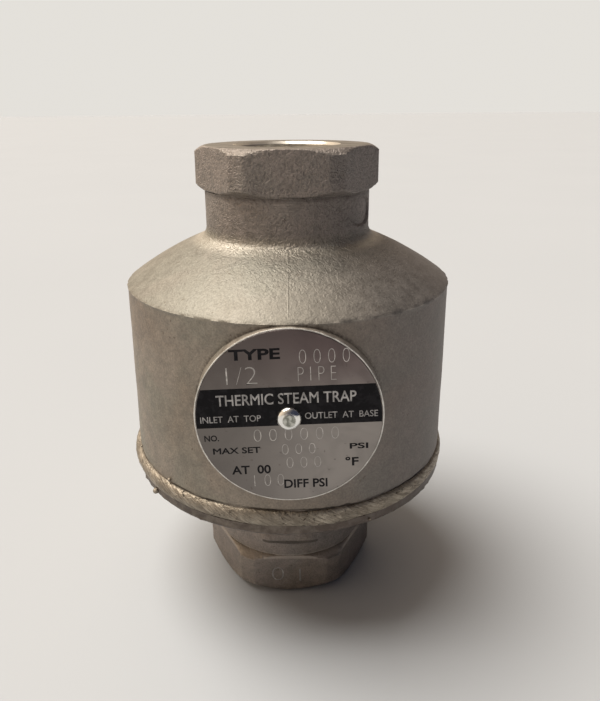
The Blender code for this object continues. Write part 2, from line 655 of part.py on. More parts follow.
def main():
    for obj in list(bpy.data.objects):
        bpy.data.objects.remove(obj, do_unlink=True)
    parts = new_collection("steam_trap")
    cutters = new_collection("cutters")

    cast_steel = new_material("cast_stainless", (0.30, 0.27, 0.24), 0.55, 0.85)
    weld_steel = new_material("weld_metal", (0.28, 0.25, 0.22), 0.50, 0.90)
    plate_metal = new_material("plate_aluminium", (0.42, 0.41, 0.40), 0.35, 0.90)
    pin_metal = new_material("pin_steel", (0.75, 0.74, 0.72), 0.20, 1.00)
    machined = new_material("machined_stainless", (0.55, 0.54, 0.52), 0.30, 1.00)
    bimetal = new_material("bimetal", (0.50, 0.44, 0.34), 0.35, 1.00)
    gasket_metal = new_material("gasket_nickel", (0.48, 0.47, 0.45), 0.40, 0.90)
    screen_metal = new_material("screen_stainless", (0.50, 0.50, 0.49), 0.40, 1.00)

    inlet_body(parts, cutters, cast_steel)
    outlet_cover(parts, cutters, cast_steel)
    closure_weld(parts, weld_steel)
    nameplate(parts, plate_metal)
    nameplate_pin(parts, pin_metal)

    valve_seat(parts, cutters, machined)
    gasket_r = SEAT_SHANK_DIAMETER / 2 + GAP
    gasket_outer = gasket_r + GASKET_BAND
    washer("seat_gasket", gasket_r, gasket_outer, GASKET_Z, GASKET_THICKNESS, parts, gasket_metal)
    valve_stem(parts, machined)
    valve_plug(parts, machined)

    washer_r = WASHER_DIAMETER / 2
    orifice_r = ORIFICE_DIAMETER / 2
    thick = WASHER_THICKNESS
    washer("stack_base_washer", orifice_r, washer_r, BASE_WASHER_Z, thick, parts, machined)
    bimetal_leaves(parts, cutters, bimetal)
    washer("stack_top_washer", STEM_HOLE_R, washer_r, TOP_WASHER_Z, thick, parts, machined)
    overload_spring(parts, machined)
    cap_r = SPRING_DIAMETER / 2 + GAP
    washer("spring_cap", STEM_HOLE_R, cap_r, SPRING_CAP_Z, thick, parts, machined)
    nut("adjusting_nut", ADJUSTING_NUT_Z, ADJUSTING_NUT_HEIGHT, parts, cutters, machined)
    nut("lock_nut", LOCK_NUT_Z, LOCK_NUT_HEIGHT, parts, cutters, machined)

    strainer_screen(parts, cutters, screen_metal)
    strainer_cap(parts, screen_metal)
    strainer_base_ring(parts, screen_metal)

    print("height", round(INLET_FACE_Z / MM, 2), "mm, floor", round(FLOOR_Z / MM, 2), "mm")
    print("stem top", round(STEM_TOP_Z / MM, 2), "mm, strainer top", round(STRAINER_TOP_Z / MM, 2), "mm")


main()
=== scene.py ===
# %% [markdown]
# # A welded in-line steam trap
# A steam trap lets water out of a steam pipe and keeps the steam in. This one is two stainless castings
# welded into one body, with a threaded hexagonal port at each end and a round nameplate on the front.
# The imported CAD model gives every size, place and moving body. This lesson makes the surfaces that are
# seen: the sand-rough castings, the weld, the plate with its print, and the screw threads in the ports.

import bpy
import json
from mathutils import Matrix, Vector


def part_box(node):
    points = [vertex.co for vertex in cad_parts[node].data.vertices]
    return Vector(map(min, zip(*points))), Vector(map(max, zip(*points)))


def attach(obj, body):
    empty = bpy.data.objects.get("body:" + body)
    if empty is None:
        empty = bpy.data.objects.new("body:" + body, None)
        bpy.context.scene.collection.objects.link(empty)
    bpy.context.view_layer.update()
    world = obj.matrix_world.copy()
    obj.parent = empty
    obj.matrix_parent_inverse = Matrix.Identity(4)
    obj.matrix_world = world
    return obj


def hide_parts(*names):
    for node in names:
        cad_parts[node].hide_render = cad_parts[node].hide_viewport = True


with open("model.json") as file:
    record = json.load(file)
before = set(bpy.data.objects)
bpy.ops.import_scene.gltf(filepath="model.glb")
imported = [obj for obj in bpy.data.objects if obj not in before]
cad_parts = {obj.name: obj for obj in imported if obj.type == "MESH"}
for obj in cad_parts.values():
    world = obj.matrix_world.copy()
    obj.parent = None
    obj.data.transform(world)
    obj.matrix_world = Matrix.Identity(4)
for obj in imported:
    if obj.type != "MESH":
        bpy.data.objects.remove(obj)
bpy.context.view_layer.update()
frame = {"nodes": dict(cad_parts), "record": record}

# %% Names used everywhere
import json
from math import acos, atan2, cos, exp, hypot, log, pi, radians, sin, sqrt, tan

import bmesh
import bpy
from mathutils import Matrix, Vector, noise

MM = 0.001
body_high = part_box("inlet_body")[1]
cover_low, cover_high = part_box("outlet_cover")
weld_low, weld_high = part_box("closure_weld")
plate_low, plate_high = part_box("nameplate")
pin_low, pin_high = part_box("nameplate_pin")
barrel_r = body_high.x
rim_r = cover_high.x
inlet_z = body_high.z
outlet_z = cover_low.z
weld_z = (weld_low.z + weld_high.z) / 2
plate_r = (plate_high.x - plate_low.x) / 2
plate_z = (plate_high.z + plate_low.z) / 2
plate_y = plate_low.y


def place_object(name, data):
    made = bpy.data.objects.new(name, data)
    bpy.context.scene.collection.objects.link(made)
    return made


print("barrel radius", round(barrel_r / MM, 2), "mm, height", round((inlet_z - outlet_z) / MM, 2), "mm")

# %% [markdown]
# ## The camera
# A close camera sees a small thing with strong perspective: the port on top looks wide, and the sides of
# the barrel lean in towards the bottom. So the camera stands about 13 cm from the axis, just above the top
# face, and looks 16 degrees down.

# %% Place the camera
camera_data = bpy.data.cameras.new("camera")
camera_data.sensor_width = 36.0
camera_data.lens = 31.81
camera_data.shift_x = 0.0172
camera_data.shift_y = -0.087
camera_data.clip_start = 5 * MM
camera_data.clip_end = 30.0
camera = place_object("camera", camera_data)
camera_place = Matrix.Translation((0.0, -129.4 * MM, inlet_z + 6.8 * MM))
camera_tilt = Matrix.Rotation(radians(90 - 16.25), 4, "X") @ Matrix.Rotation(radians(-0.52), 4, "Z")
camera.matrix_world = camera_place @ camera_tilt
bpy.context.scene.camera = camera
print("camera at", [round(v, 4) for v in camera.location])

# %% [markdown]
# ## Drawing a turned outline
# Both castings are bodies of revolution with details added. An outline can be typed point by point, but
# then nobody can change it. Here a path grows by straight runs and arcs, and each is divided into short
# steps, because the skin needs closely spaced points before it can be made uneven.

# %% Two ways to lengthen a path
def run_to(path, r, z, step):
    """Go straight from the path's end to (r, z) in steps of about this length."""
    r0, z0 = path[-1]
    count = max(1, round(hypot(r - r0, z - z0) / step))
    for i in range(1, count + 1):
        path.append((r0 + (r - r0) * i / count, z0 + (z - z0) * i / count))


def bend(path, radius, slope_from, slope_to, side, step):
    """Curve on from the path's end. Slopes are measured down from level, and side is -1 for downward."""
    r0, z0 = path[-1]
    count = max(2, round(abs(slope_to - slope_from) * radius / step))
    for i in range(1, count + 1):
        slope = slope_from + (slope_to - slope_from) * i / count
        turn = 1 if slope_to > slope_from else -1
        across = turn * radius * (sin(slope) - sin(slope_from))
        down = turn * radius * (cos(slope_from) - cos(slope))
        path.append((r0 + across, z0 + side * down))


neck_r = 16.95 * MM
neck_fillet = 2.4 * MM
edge_round = 1.6 * MM
inner_slope = radians(22)
outer_slope = radians(36)
edge_slope = radians(64)


def shoulder(path, edge_r, side, step):
    """The crowned shoulder from the neck to its outer edge: a fillet, a long flat arc and a short one."""
    bend(path, neck_fillet, pi / 2, inner_slope, side, step)
    crown_end = edge_r - edge_round * (sin(edge_slope) - sin(outer_slope))
    crown_r = (crown_end - path[-1][0]) / (sin(outer_slope) - sin(inner_slope))
    bend(path, crown_r, inner_slope, outer_slope, side, step)
    bend(path, edge_round, outer_slope, edge_slope, side, step / 2)
    path[-1] = (edge_r, path[-1][1])


print("a shoulder spans", round((barrel_r - neck_r) / MM, 2), "mm")

# %% [markdown]
# ## Turning, and milling the hexagons
# A real machinist turns a round blank and then mills six flats on it. The same order works here. The
# outline is spun into a closed skin, and the points of the round port are then pulled in to the flats.
# A hexagonal prism joined on by a Boolean would leave razor edges, and a casting has soft ones, so the
# flats, the corner cylinder and the chamfer cones are merged by a smooth minimum.

# %% Spin an outline into a closed skin
def spun(path, turns, joined=True):
    """A closed bmesh from an outline in the XZ plane, spun round Z in this many steps.

    The outline's ends are joined, or else both lie on the axis and become the poles.
    """
    bm = bmesh.new()
    ring = [bm.verts.new((r, 0.0, z)) for r, z in path]
    count = len(ring) if joined else len(ring) - 1
    edges = [bm.edges.new((ring[i], ring[(i + 1) % len(ring)])) for i in range(count)]
    bmesh.ops.spin(
        bm, geom=ring + edges, cent=(0, 0, 0), axis=(0, 0, 1), angle=2 * pi, steps=turns, use_merge=True
    )
    bmesh.ops.remove_doubles(bm, verts=bm.verts, dist=0.001 * MM)
    bmesh.ops.recalc_face_normals(bm, faces=bm.faces)
    return bm


# %% Mill a hexagon with soft edges
flat_r = 17.0 * MM
corner_r = 18.75 * MM
chamfer_r = flat_r + 0.15 * MM
mouth_r = 11.0 * MM
face_r = 15.9 * MM
edge_softness = 0.06 * MM
chamfer_slope = radians(33)
foot_slope = radians(40)


def least(values):
    """The smallest value, rounded off where two are nearly equal."""
    low = min(values)
    return low - edge_softness * log(sum(exp((low - value) / edge_softness) for value in values))


def hexagon_radius(angle, above, below, foot_r, foot):
    """Radius of the port's outside. above and below are the distances to its lower and upper edge."""
    sector = (angle + pi / 6) % (pi / 3) - pi / 6
    flat = flat_r / cos(sector)
    upper_cone = chamfer_r + below / tan(chamfer_slope)
    lower_cone = foot_r + above / tan(foot)
    radius = least([flat, corner_r, upper_cone, lower_cone])
    bite = 0.3 * MM
    for distance in (above, below):
        if distance < bite:
            radius -= bite - sqrt(bite * bite - (bite - distance) ** 2)
    return radius


def mill_hexagon(bm, low_z, high_z, face_is_low):
    """Pull the round blank between two heights in to the hexagon, and its end faces with it."""
    tiny = 0.01 * MM
    foot_r = face_r if face_is_low else chamfer_r
    foot = foot_slope if face_is_low else chamfer_slope
    count = 0
    for vert in bm.verts:
        x, y, z = vert.co
        r = hypot(x, y)
        if z < low_z - tiny or z > high_z + tiny or r < mouth_r + tiny:
            continue
        on_face = (z < low_z + tiny) if face_is_low else (z > high_z - tiny)
        inner = mouth_r if on_face else neck_r
        if r <= inner:
            continue
        angle = atan2(x, -y)
        target = hexagon_radius(angle, max(0.0, z - low_z), max(0.0, high_z - z), foot_r, foot)
        new_r = inner + (r - inner) / (corner_r - inner) * (target - inner)
        vert.co.x *= new_r / r
        vert.co.y *= new_r / r
        count += 1
    return count


print("corner to corner", round(2 * corner_r / MM, 2), "mm before the edges are softened")

# %% [markdown]
# ## The skin of an investment casting
# Wax, slurry and sand leave a skin that is never quite flat: slow waves a centimetre long, and on top of
# them a grain finer than a millimetre. The waves change the outline and catch the light in patches, so
# they are real geometry, made by moving points along their normals. The finest grain is left to the
# material's bump, where it costs nothing.

# %% Make a skin uneven
def cloud(point, size, seed=0.0):
    """Smooth noise between about -1 and 1, with features of this size."""
    return noise.noise(Vector((point[0] / size + seed, point[1] / size, point[2] / size)))


def cast_height(point):
    """How far the cast skin stands off its ideal surface at a point."""
    waves = 0.07 * MM * cloud(point, 9 * MM)
    ripples = 0.03 * MM * cloud(point, 2.6 * MM, 40.0)
    grain = 0.016 * MM * cloud(point, 1.0 * MM, 80.0)
    return waves + ripples + grain


def smooth_step(value, start, end):
    share = min(1.0, max(0.0, (value - start) / (end - start)))
    return share * share * (3 - 2 * share)


def roughen(bm, is_cast, extra):
    """Move every cast point along its normal, and add what extra gives for local features."""
    bm.normal_update()
    moves = []
    for vert in bm.verts:
        if is_cast(vert.co):
            moves.append((vert, vert.normal * (cast_height(vert.co) + extra(vert.co))))
    for vert, move in moves:
        vert.co += move
    return len(moves)


def mark_edges(mesh):
    """Store how the skin turns at each point: 0.5 where it is flat, more on an outside edge."""
    bm = bmesh.new()
    bm.from_mesh(mesh)
    bm.normal_update()
    bends = []
    for vert in bm.verts:
        spread = Vector()
        for edge in vert.link_edges:
            spread += (edge.other_vert(vert).co - vert.co).normalized()
        lean = vert.normal.dot(spread / len(vert.link_edges))
        bends.append(acos(max(-1.0, min(1.0, lean))) / pi)
    smoothed = []
    for vert in bm.verts:
        around = [bends[edge.other_vert(vert).index] for edge in vert.link_edges]
        smoothed.append((bends[vert.index] + sum(around)) / (1 + len(around)))
    bm.free()
    mesh.attributes.new("edge_turn", "FLOAT", "POINT").data.foreach_set("value", smoothed)
    return max(smoothed)


def finished(name, bm, materials, sharp=35):
    """Turn a bmesh into a smooth-shaded object whose object sits at the origin."""
    mesh = bpy.data.meshes.new(name)
    bm.to_mesh(mesh)
    bm.free()
    for material in materials:
        mesh.materials.append(material)
    mesh.shade_smooth()
    mesh.set_sharp_from_angle(angle=radians(sharp))
    return place_object(name, mesh)


print("the skin at one point stands off by", round(cast_height((0.02, 0.01, 0.05)) / MM, 3), "mm")

# %% [markdown]
# ## Building materials from nodes
# Every finish here is worked out from the point's own place in the object, so it needs no image and no
# unwrapping, and it doesn't slide when a piece moves. Long node trees are hard to read in code, so each
# kind of node gets a short helper: one makes any node and fills in its inputs, and the rest build on it.

# %% Node helpers
def plug(value, socket):
    """Link a value to a socket if it is a socket itself, and set it if it is a number."""
    if isinstance(value, bpy.types.NodeSocket):
        socket.id_data.links.new(value, socket)
    else:
        socket.default_value = value


def add_node(tree, kind, inputs=None, **settings):
    made = tree.nodes.new(kind)
    for key, value in settings.items():
        setattr(made, key, value)
    for key, value in (inputs or {}).items():
        plug(value, made.inputs[key])
    return made


def tree_of(*values):
    """The node tree of the first socket among some values."""
    return next(value.id_data for value in values if isinstance(value, bpy.types.NodeSocket))


def calc(operation, first, second=0.0, third=0.0):
    inputs = {0: first, 1: second, 2: third}
    return add_node(tree_of(first, second, third), "ShaderNodeMath", inputs, operation=operation).outputs[0]


def times(first, *others):
    for other in others:
        first = calc("MULTIPLY", first, other)
    return first


def stretch(value, low, high, to_low=0.0, to_high=1.0):
    """Map low..high to to_low..to_high, held at both ends."""
    inputs = {"Value": value, "From Min": low, "From Max": high, "To Min": to_low, "To Max": to_high}
    return add_node(tree_of(value), "ShaderNodeMapRange", inputs, interpolation_type="SMOOTHSTEP").outputs[0]


def near(value, level, far, close, strength=1.0):
    """Up to strength where a value is close to a level, falling to 0 at the distance far."""
    return stretch(calc("ABSOLUTE", calc("SUBTRACT", value, level)), far, close, 0.0, strength)


def between(value, out_low, in_low, in_high, out_high):
    """1 between the two inner levels, falling to 0 at the outer ones."""
    return times(stretch(value, out_low, in_low), stretch(value, out_high, in_high))


def mixed(share, first, second, blend="MIX"):
    """Mix two colours. Each is a socket or three numbers."""
    first, second = ((*c, 1.0) if isinstance(c, tuple) else c for c in (first, second))
    inputs = {0: share, 6: first, 7: second}
    tree = tree_of(share, first, second)
    return add_node(tree, "ShaderNodeMix", inputs, data_type="RGBA", blend_type=blend).outputs[2]


def cloudy(where, scale, detail=2.0, roughness=0.5, distortion=0.0):
    inputs = {"Vector": where, "Scale": scale, "Detail": detail}
    inputs.update({"Roughness": roughness, "Distortion": distortion})
    return add_node(tree_of(where), "ShaderNodeTexNoise", inputs).outputs["Fac"]


def scaled(where, x, y, z):
    """Coordinates stretched by different amounts along each axis."""
    return add_node(tree_of(where), "ShaderNodeMapping", {"Vector": where, "Scale": (x, y, z)}).outputs[0]


def split(where):
    """The X, Y and Z of some coordinates."""
    return add_node(tree_of(where), "ShaderNodeSeparateXYZ", {0: where}).outputs


def reach(first, second):
    """The distance that two lengths at right angles give together."""
    return calc("SQRT", calc("MULTIPLY_ADD", first, first, times(second, second)))


print("helpers:", [helper.__name__ for helper in (calc, times, stretch, near, mixed, cloudy, scaled, split)])


# %% Begin and complete a material
def begin(name, metallic, specular=0.5):
    """A new material and the object coordinates in its tree."""
    material = bpy.data.materials.new(name)
    material.use_nodes = True
    shader = material.node_tree.nodes["Principled BSDF"]
    shader.inputs["Metallic"].default_value = metallic
    shader.inputs["Specular IOR Level"].default_value = specular
    return material, add_node(material.node_tree, "ShaderNodeTexCoord").outputs["Object"]


def complete(material, colour, roughness, height=None, depth=0.0):
    """Plug the results into the shader. The height is raised by a bump of this depth."""
    shader = material.node_tree.nodes["Principled BSDF"]
    plug(colour, shader.inputs["Base Color"])
    plug(roughness, shader.inputs["Roughness"])
    if height is not None:
        bump = add_node(material.node_tree, "ShaderNodeBump", {"Height": height, "Distance": depth})
        plug(bump.outputs[0], shader.inputs["Normal"])
    return material


print("every material starts from", begin.__name__, "and ends in", complete.__name__)

# %% [markdown]
# ## Cast stainless steel
# Grit-blasted stainless is a metal, but its skin is so finely broken that it looks almost matt. The
# colour drifts between warm beige and greenish grey, and painted shade darkens one side. Raised edges are
# rubbed bright, with a painted highlight on them, and the hollows of the grain are darkened with painted
# shade. The grain is coarse on the hexagons and the neck, finer on the shoulder and smoothest on the
# barrel, so its depth follows the height. A plain metal with one roughness would look like plastic here.

# %% Heights that the finish follows
hex_z = inlet_z - 8.8 * MM
neck_z = hex_z - 7.55 * MM
low_hex_z = outlet_z + 9.7 * MM
low_neck_z = low_hex_z + 7.3 * MM
boss_r = plate_r + 0.30 * MM
boss_y = plate_low.y + 0.10 * MM
print("the necks meet the shoulders at", round(neck_z / MM, 2), "and", round(low_neck_z / MM, 2), "mm")


# %% The tones of the bare casting
warm_grey = (0.292, 0.256, 0.215)
green_grey = (0.258, 0.243, 0.203)
purple_grey = (0.265, 0.228, 0.212)
shoulder_grey = (0.218, 0.211, 0.182)
barrel_brown = (0.262, 0.214, 0.172)
side_shade_grey = (0.155, 0.139, 0.141)


def cast_tone(where, patches):
    """Patches of two greys, with its own tint on the ends, the shoulder and the barrel, and painted shade on
    one side.
    """
    x, _, z = split(where)
    colour = mixed(stretch(patches, 0.42, 0.62, 0.0, 0.7), warm_grey, green_grey)
    top_end = stretch(z, neck_z - 1 * MM, neck_z + 1 * MM, 0.0, 0.6)
    low_end = stretch(z, low_neck_z + 3 * MM, low_neck_z - 1 * MM, 0.0, 0.6)
    colour = mixed(calc("MAXIMUM", top_end, low_end), colour, purple_grey)
    sloping = stretch(z, neck_z - 1 * MM, neck_z - 3.5 * MM, 0.0, 0.6)
    sloping = times(stretch(z, neck_z - 11.6 * MM, neck_z - 10.4 * MM), sloping)
    colour = mixed(sloping, colour, shoulder_grey)
    brown = stretch(cloudy(where, 42.0, 2.0, 0.5, 0.3), 0.47, 0.64, 0.0, 0.65)
    brown = times(brown, stretch(z, neck_z - 10.8 * MM, neck_z - 11.4 * MM))
    colour = mixed(brown, colour, barrel_brown)
    # Painted shade: the casting is darker towards its +X side, with a ragged border.
    drift = calc("MULTIPLY_ADD", patches, 10 * MM, x)
    return mixed(stretch(drift, 0.0, 30 * MM, 0.0, 0.62), colour, side_shade_grey)


print("tones of the casting:", warm_grey, "to", side_shade_grey)

# %% [markdown]
# Wear, dirt and painted light and shade come on top of the tones, and each has its own place. Edges are
# rubbed bright, with a painted highlight on the wear, and inside corners are darkened with painted shade,
# which the mesh itself tells through a stored number. The fillet under the neck is polished and carries a
# painted highlight, the lower hexagon's upper chamfer is lightened with painted light, and the rim round the
# plate is bare metal painted bright as a highlight. A painted shadow lies under the overhang of the hexagon
# and under the gate pad. The heat of the weld has left soot beside the bead, and the rim below it is browned
# by heat and darkened with painted shade.

# %% Wear, dirt, heat marks and painted light and shade
def wear_dirt_and_painted_light(where, mottle, colour):
    """Rubbed edges with a painted highlight, painted light and shade in set places, and general dirt. It
    gives the colour and the share of the polished fillet, which also carries a painted highlight.
    """
    x, y, z = split(where)
    specks = stretch(cloudy(where, 900.0, 2.0, 0.6), 0.68, 0.74, 0.0, 0.55)
    colour = mixed(specks, colour, (0.11, 0.085, 0.06))
    turn = add_node(tree_of(where), "ShaderNodeAttribute", attribute_name="edge_turn").outputs["Fac"]
    # Raised edges rubbed bright: wear, with a painted highlight on it.
    colour = mixed(stretch(turn, 0.52, 0.60, 0.0, 0.6), colour, (0.56, 0.52, 0.46))
    # Painted shade in inside corners, weaker towards the bottom.
    corner = times(stretch(z, outlet_z, weld_z, 0.1, 0.7), stretch(turn, 0.485, 0.43))
    colour = mixed(corner, colour, (0.07, 0.056, 0.045))
    # Painted highlight on the fillet under the neck, which is also made glossier.
    fillet = near(z, neck_z - 2.0 * MM, 1.25 * MM, 0.2 * MM, 0.42)
    colour = mixed(fillet, colour, (0.52, 0.485, 0.42))
    # Painted shadow on the neck under the hexagon's overhang.
    overhang = calc("MULTIPLY_ADD", mottle, 1.6 * MM, z)
    overhang = stretch(overhang, hex_z - 0.35 * MM, hex_z + 0.75 * MM, 0.0, 0.62)
    overhang = times(overhang, calc("LESS_THAN", z, hex_z - 0.02 * MM))
    colour = mixed(overhang, colour, (0.06, 0.048, 0.042))
    # Painted light on the lower hexagon's upper chamfer.
    painted_chamfer_light = near(z, low_hex_z - 0.4 * MM, 0.65 * MM, 0.2 * MM, 0.5)
    colour = mixed(painted_chamfer_light, colour, (0.50, 0.44, 0.38))
    # The bare metal rim round the plate, painted bright as a highlight.
    on_boss = calc("LESS_THAN", reach(x, calc("SUBTRACT", z, plate_z)), boss_r - 0.02 * MM)
    in_front = calc("LESS_THAN", y, boss_y + 0.12 * MM)
    ring = times(on_boss, in_front, stretch(mottle, 0.35, 0.6, 0.45, 0.95))
    return mixed(ring, colour, (0.84, 0.82, 0.78)), fillet


def heat_marks_and_painted_shade(where, mottle, colour):
    """Soot at the weld's toe, painted shade with a brown heat tint on the rim, and a painted shadow at the
    foot of the gate pad.
    """
    x, y, z = split(where)
    toe = calc("MULTIPLY_ADD", cloudy(where, 520.0, 2.0), 1.0 * MM, weld_z + 1.15 * MM)
    toe = near(z, toe, 0.30 * MM, 0.08 * MM)
    soot = stretch(cloudy(where, 130.0, 2.0), 0.38, 0.58, 0.25, 0.9)
    colour = mixed(times(toe, soot), colour, (0.035, 0.028, 0.022))
    # Painted shade below the bead, with a brown heat tint.
    under = between(z, low_neck_z, weld_z - 4 * MM, weld_z - 1.6 * MM, weld_z)
    under = times(under, stretch(mottle, 0.35, 0.62, 0.9, 0.6))
    colour = mixed(under, colour, (0.075, 0.057, 0.048))
    # Painted shadow under the gate pad's lower edge.
    pad_foot = near(z, low_neck_z - 3.75 * MM, 0.72 * MM, 0.46 * MM, 0.72)
    pad_foot = times(pad_foot, calc("LESS_THAN", y, -15 * MM))
    pad_foot = times(pad_foot, near(x, 0.0, 6.1 * MM, 5.7 * MM))
    return mixed(pad_foot, colour, (0.05, 0.042, 0.035)), under


print("marks:", [marks.__name__ for marks in (wear_dirt_and_painted_light, heat_marks_and_painted_shade)])


# %% Grain, seam and gate lines
def cast_relief(where, peel, depth):
    """Height of the fine relief: orange-peel grain, the mould's seam and the ground-off gate."""
    x, y, z = split(where)
    grain = calc("MULTIPLY_ADD", cloudy(where, 3800.0, 2.0, 0.6), 0.35, peel)
    grain = times(grain, depth)
    front = calc("LESS_THAN", y, 0.0)
    seam = times(front, near(x, 0.0, 0.22 * MM, 0.04 * MM, 0.085))
    low, high = neck_z - 10.4 * MM, neck_z - 1.2 * MM
    seam = times(seam, between(z, low, low + 0.6 * MM, high - 0.6 * MM, high))
    lines = cloudy(scaled(where, 260.0, 260.0, 4200.0), 1.0, 2.0, 0.7)
    gate = times(front, near(x, 0.0, 3.4 * MM, 2.4 * MM))
    low, high = inlet_z - 12.0 * MM, inlet_z - 9.0 * MM
    gate = times(gate, between(z, low, low + 0.7 * MM, high - 0.8 * MM, high))
    levels = {0: gate, 2: calc("ADD", grain, seam), 3: times(lines, 1.3)}
    return add_node(tree_of(gate), "ShaderNodeMix", levels).outputs[0]


# %% Put the cast finish together
def cast_steel():
    material, where = begin("cast_stainless_skin", 0.8)
    z = split(where)[2]
    patches = cloudy(where, 75.0, 3.0, 0.55, 0.4)
    mottle = cloudy(where, 420.0, 4.0, 0.65, 0.3)
    grit = cloudy(where, 2600.0, 3.0, 0.7)
    peel = cloudy(where, 1600.0, 1.5, 0.5, 0.8)
    upper = stretch(z, neck_z - 10 * MM, neck_z + 3 * MM, 0.26, 1.35)
    lower = stretch(z, low_neck_z + 8 * MM, low_neck_z, 0.0, 0.5)
    depth = calc("MAXIMUM", upper, lower)
    # Painted shade in the hollows of the grain.
    grain_hollow_shade = times(stretch(peel, 0.50, 0.34), times(depth, 0.14))
    shade = times(stretch(mottle, 0.3, 0.7, 0.84, 1.14), stretch(grit, 0.25, 0.75, 0.84, 1.16))
    shade = times(shade, calc("SUBTRACT", 1.0, grain_hollow_shade))
    grey = add_node(tree_of(shade), "ShaderNodeCombineColor", {0: shade, 1: shade, 2: shade}).outputs[0]
    colour = mixed(1.0, cast_tone(where, patches), grey, "MULTIPLY")
    colour, fillet = wear_dirt_and_painted_light(where, mottle, colour)
    colour, under = heat_marks_and_painted_shade(where, mottle, colour)
    smoother = calc("ADD", times(fillet, 0.3), times(under, 0.2))
    rough = calc("SUBTRACT", stretch(mottle, 0.3, 0.7, 0.54, 0.66), smoother)
    return complete(material, colour, rough, cast_relief(where, peel, depth), 0.27 * MM)


# %% The finish of machined metal
def turned_steel(name, colour, pitch, roughness):
    """Bright machined metal. The cutter leaves fine rings round the axis."""
    material, where = begin(name, 1.0)
    x, y, z = split(where)
    rings = calc("SINE", times(calc("ADD", reach(x, y), z), 2 * pi / pitch))
    stain = cloudy(where, 220.0, 3.0, 0.6)
    dark = tuple(0.78 * c for c in colour)
    colour = mixed(stretch(stain, 0.4, 0.65), colour, dark)
    rough = stretch(stain, 0.3, 0.7, roughness, roughness + 0.18)
    height = calc("MULTIPLY_ADD", rings, 0.5, cloudy(where, 1600.0, 3.0, 0.6))
    return complete(material, colour, rough, height, 0.01 * MM)


cast_skin = cast_steel()
machined = turned_steel("machined_face", (0.205, 0.19, 0.17), 0.18 * MM, 0.44)
bright_bore = turned_steel("bright_thread", (0.70, 0.66, 0.59), 0.25 * MM, 0.26)
print("materials so far:", [m.name for m in bpy.data.materials])

# %% [markdown]
# ## The upper casting
# This is the larger half: threaded hexagon, neck, shoulder and barrel, hollow inside. It is one closed
# skin, so the outline goes all the way round: over the outside, under the weld bevel, up the chamber and
# out through the thread. The outside is divided finely and the hidden inside coarsely.

# %% The upper casting's outline
fine_step = 0.5 * MM
coarse_step = 2.5 * MM
wall = 4.2 * MM
thread_root_r = 10.45 * MM
thread_end_r = 10.0 * MM
thread_depth = 14.0 * MM
inlet_bore_r = 8 * MM
root_r = barrel_r - wall + 1.7 * MM
barrel_foot_z = weld_z + 1.5 * MM


def port_side(path, top_z, foot_z):
    """Go down a port's outside, with points close together at both edges."""
    for drop in (0.04, 0.1, 0.2, 0.35):
        path.append((corner_r, top_z - drop * MM))
    run_to(path, corner_r, foot_z + 0.35 * MM, 0.4 * MM)
    for rise in (0.2, 0.1, 0.04, 0.0):
        path.append((corner_r, foot_z + rise * MM))


def upper_outline():
    path = [(mouth_r, inlet_z)]
    run_to(path, corner_r, inlet_z, fine_step)
    port_side(path, inlet_z, hex_z)
    run_to(path, neck_r, hex_z, fine_step)
    run_to(path, neck_r, neck_z, 0.32 * MM)
    shoulder(path, barrel_r, -1, fine_step)
    edge_z = path[-1][1]
    run_to(path, barrel_r, barrel_foot_z + 0.8 * MM, fine_step)
    run_to(path, barrel_r, barrel_foot_z, 0.16 * MM)
    run_to(path, root_r, weld_z + 0.15 * MM, 1.2 * MM)
    run_to(path, barrel_r - wall, weld_z + 0.15 * MM, coarse_step)
    run_to(path, barrel_r - wall, edge_z - 2 * MM, coarse_step)
    run_to(path, 24 * MM, edge_z + 2.2 * MM, coarse_step)
    run_to(path, 15 * MM, neck_z - 1.6 * MM - neck_fillet, coarse_step)
    run_to(path, inlet_bore_r, neck_z - 3.2 * MM, coarse_step)
    run_to(path, inlet_bore_r, inlet_z - thread_depth - 1.2 * MM, coarse_step)
    run_to(path, thread_end_r, inlet_z - thread_depth, coarse_step)
    run_to(path, thread_root_r, inlet_z - 0.55 * MM, coarse_step)
    return path, edge_z


upper_path, edge_z = upper_outline()
print("outline points:", len(upper_path), " edge height:", round(edge_z / MM, 2), "mm")

# %% Local features of the upper casting
mark_bearing = radians(61)
mark_z = (hex_z + neck_z) / 2


def upper_features(point):
    """Ragged shoulder edge, undercut above the weld, and the shallow oval foundry mark on the neck."""
    x, y, z = point
    r = hypot(x, y)
    angle = atan2(x, -y)
    along = (x, y, 0.0)
    height = 0.0
    near_edge = exp(-(((z - edge_z) / (0.28 * MM)) ** 2)) if r > barrel_r - 1.5 * MM else 0.0
    if near_edge > 0.01:
        lip = max(0.0, cloud(along, 2.2 * MM, 7.0) + 0.12) + 0.5 * max(0.0, cloud(along, 0.8 * MM, 17.0))
        height += near_edge * (0.04 * MM + 0.25 * MM * lip)
    above_weld = exp(-(((z - barrel_foot_z - 0.24 * MM) / (0.17 * MM)) ** 2)) if r > barrel_r - MM else 0.0
    if above_weld > 0.01:
        height -= above_weld * 0.26 * MM * smooth_step(cloud(along, 9 * MM, 3.0), -0.2, 0.35)
    if z > neck_z - MM and z < hex_z:
        turn = (angle - mark_bearing + pi) % (2 * pi) - pi
        off_mark = hypot(turn * neck_r / (5.0 * MM), (z - mark_z) / (2.8 * MM))
        height -= 0.5 * MM * smooth_step(off_mark, 1.04, 0.96)
    return height


def upper_is_cast(point):
    x, y, z = point
    r = hypot(x, y)
    on_face = z > inlet_z - 0.01 * MM
    inside = r < barrel_r - wall + MM and z < edge_z
    bore = r < mouth_r + 0.3 * MM
    return not (on_face or inside or bore)


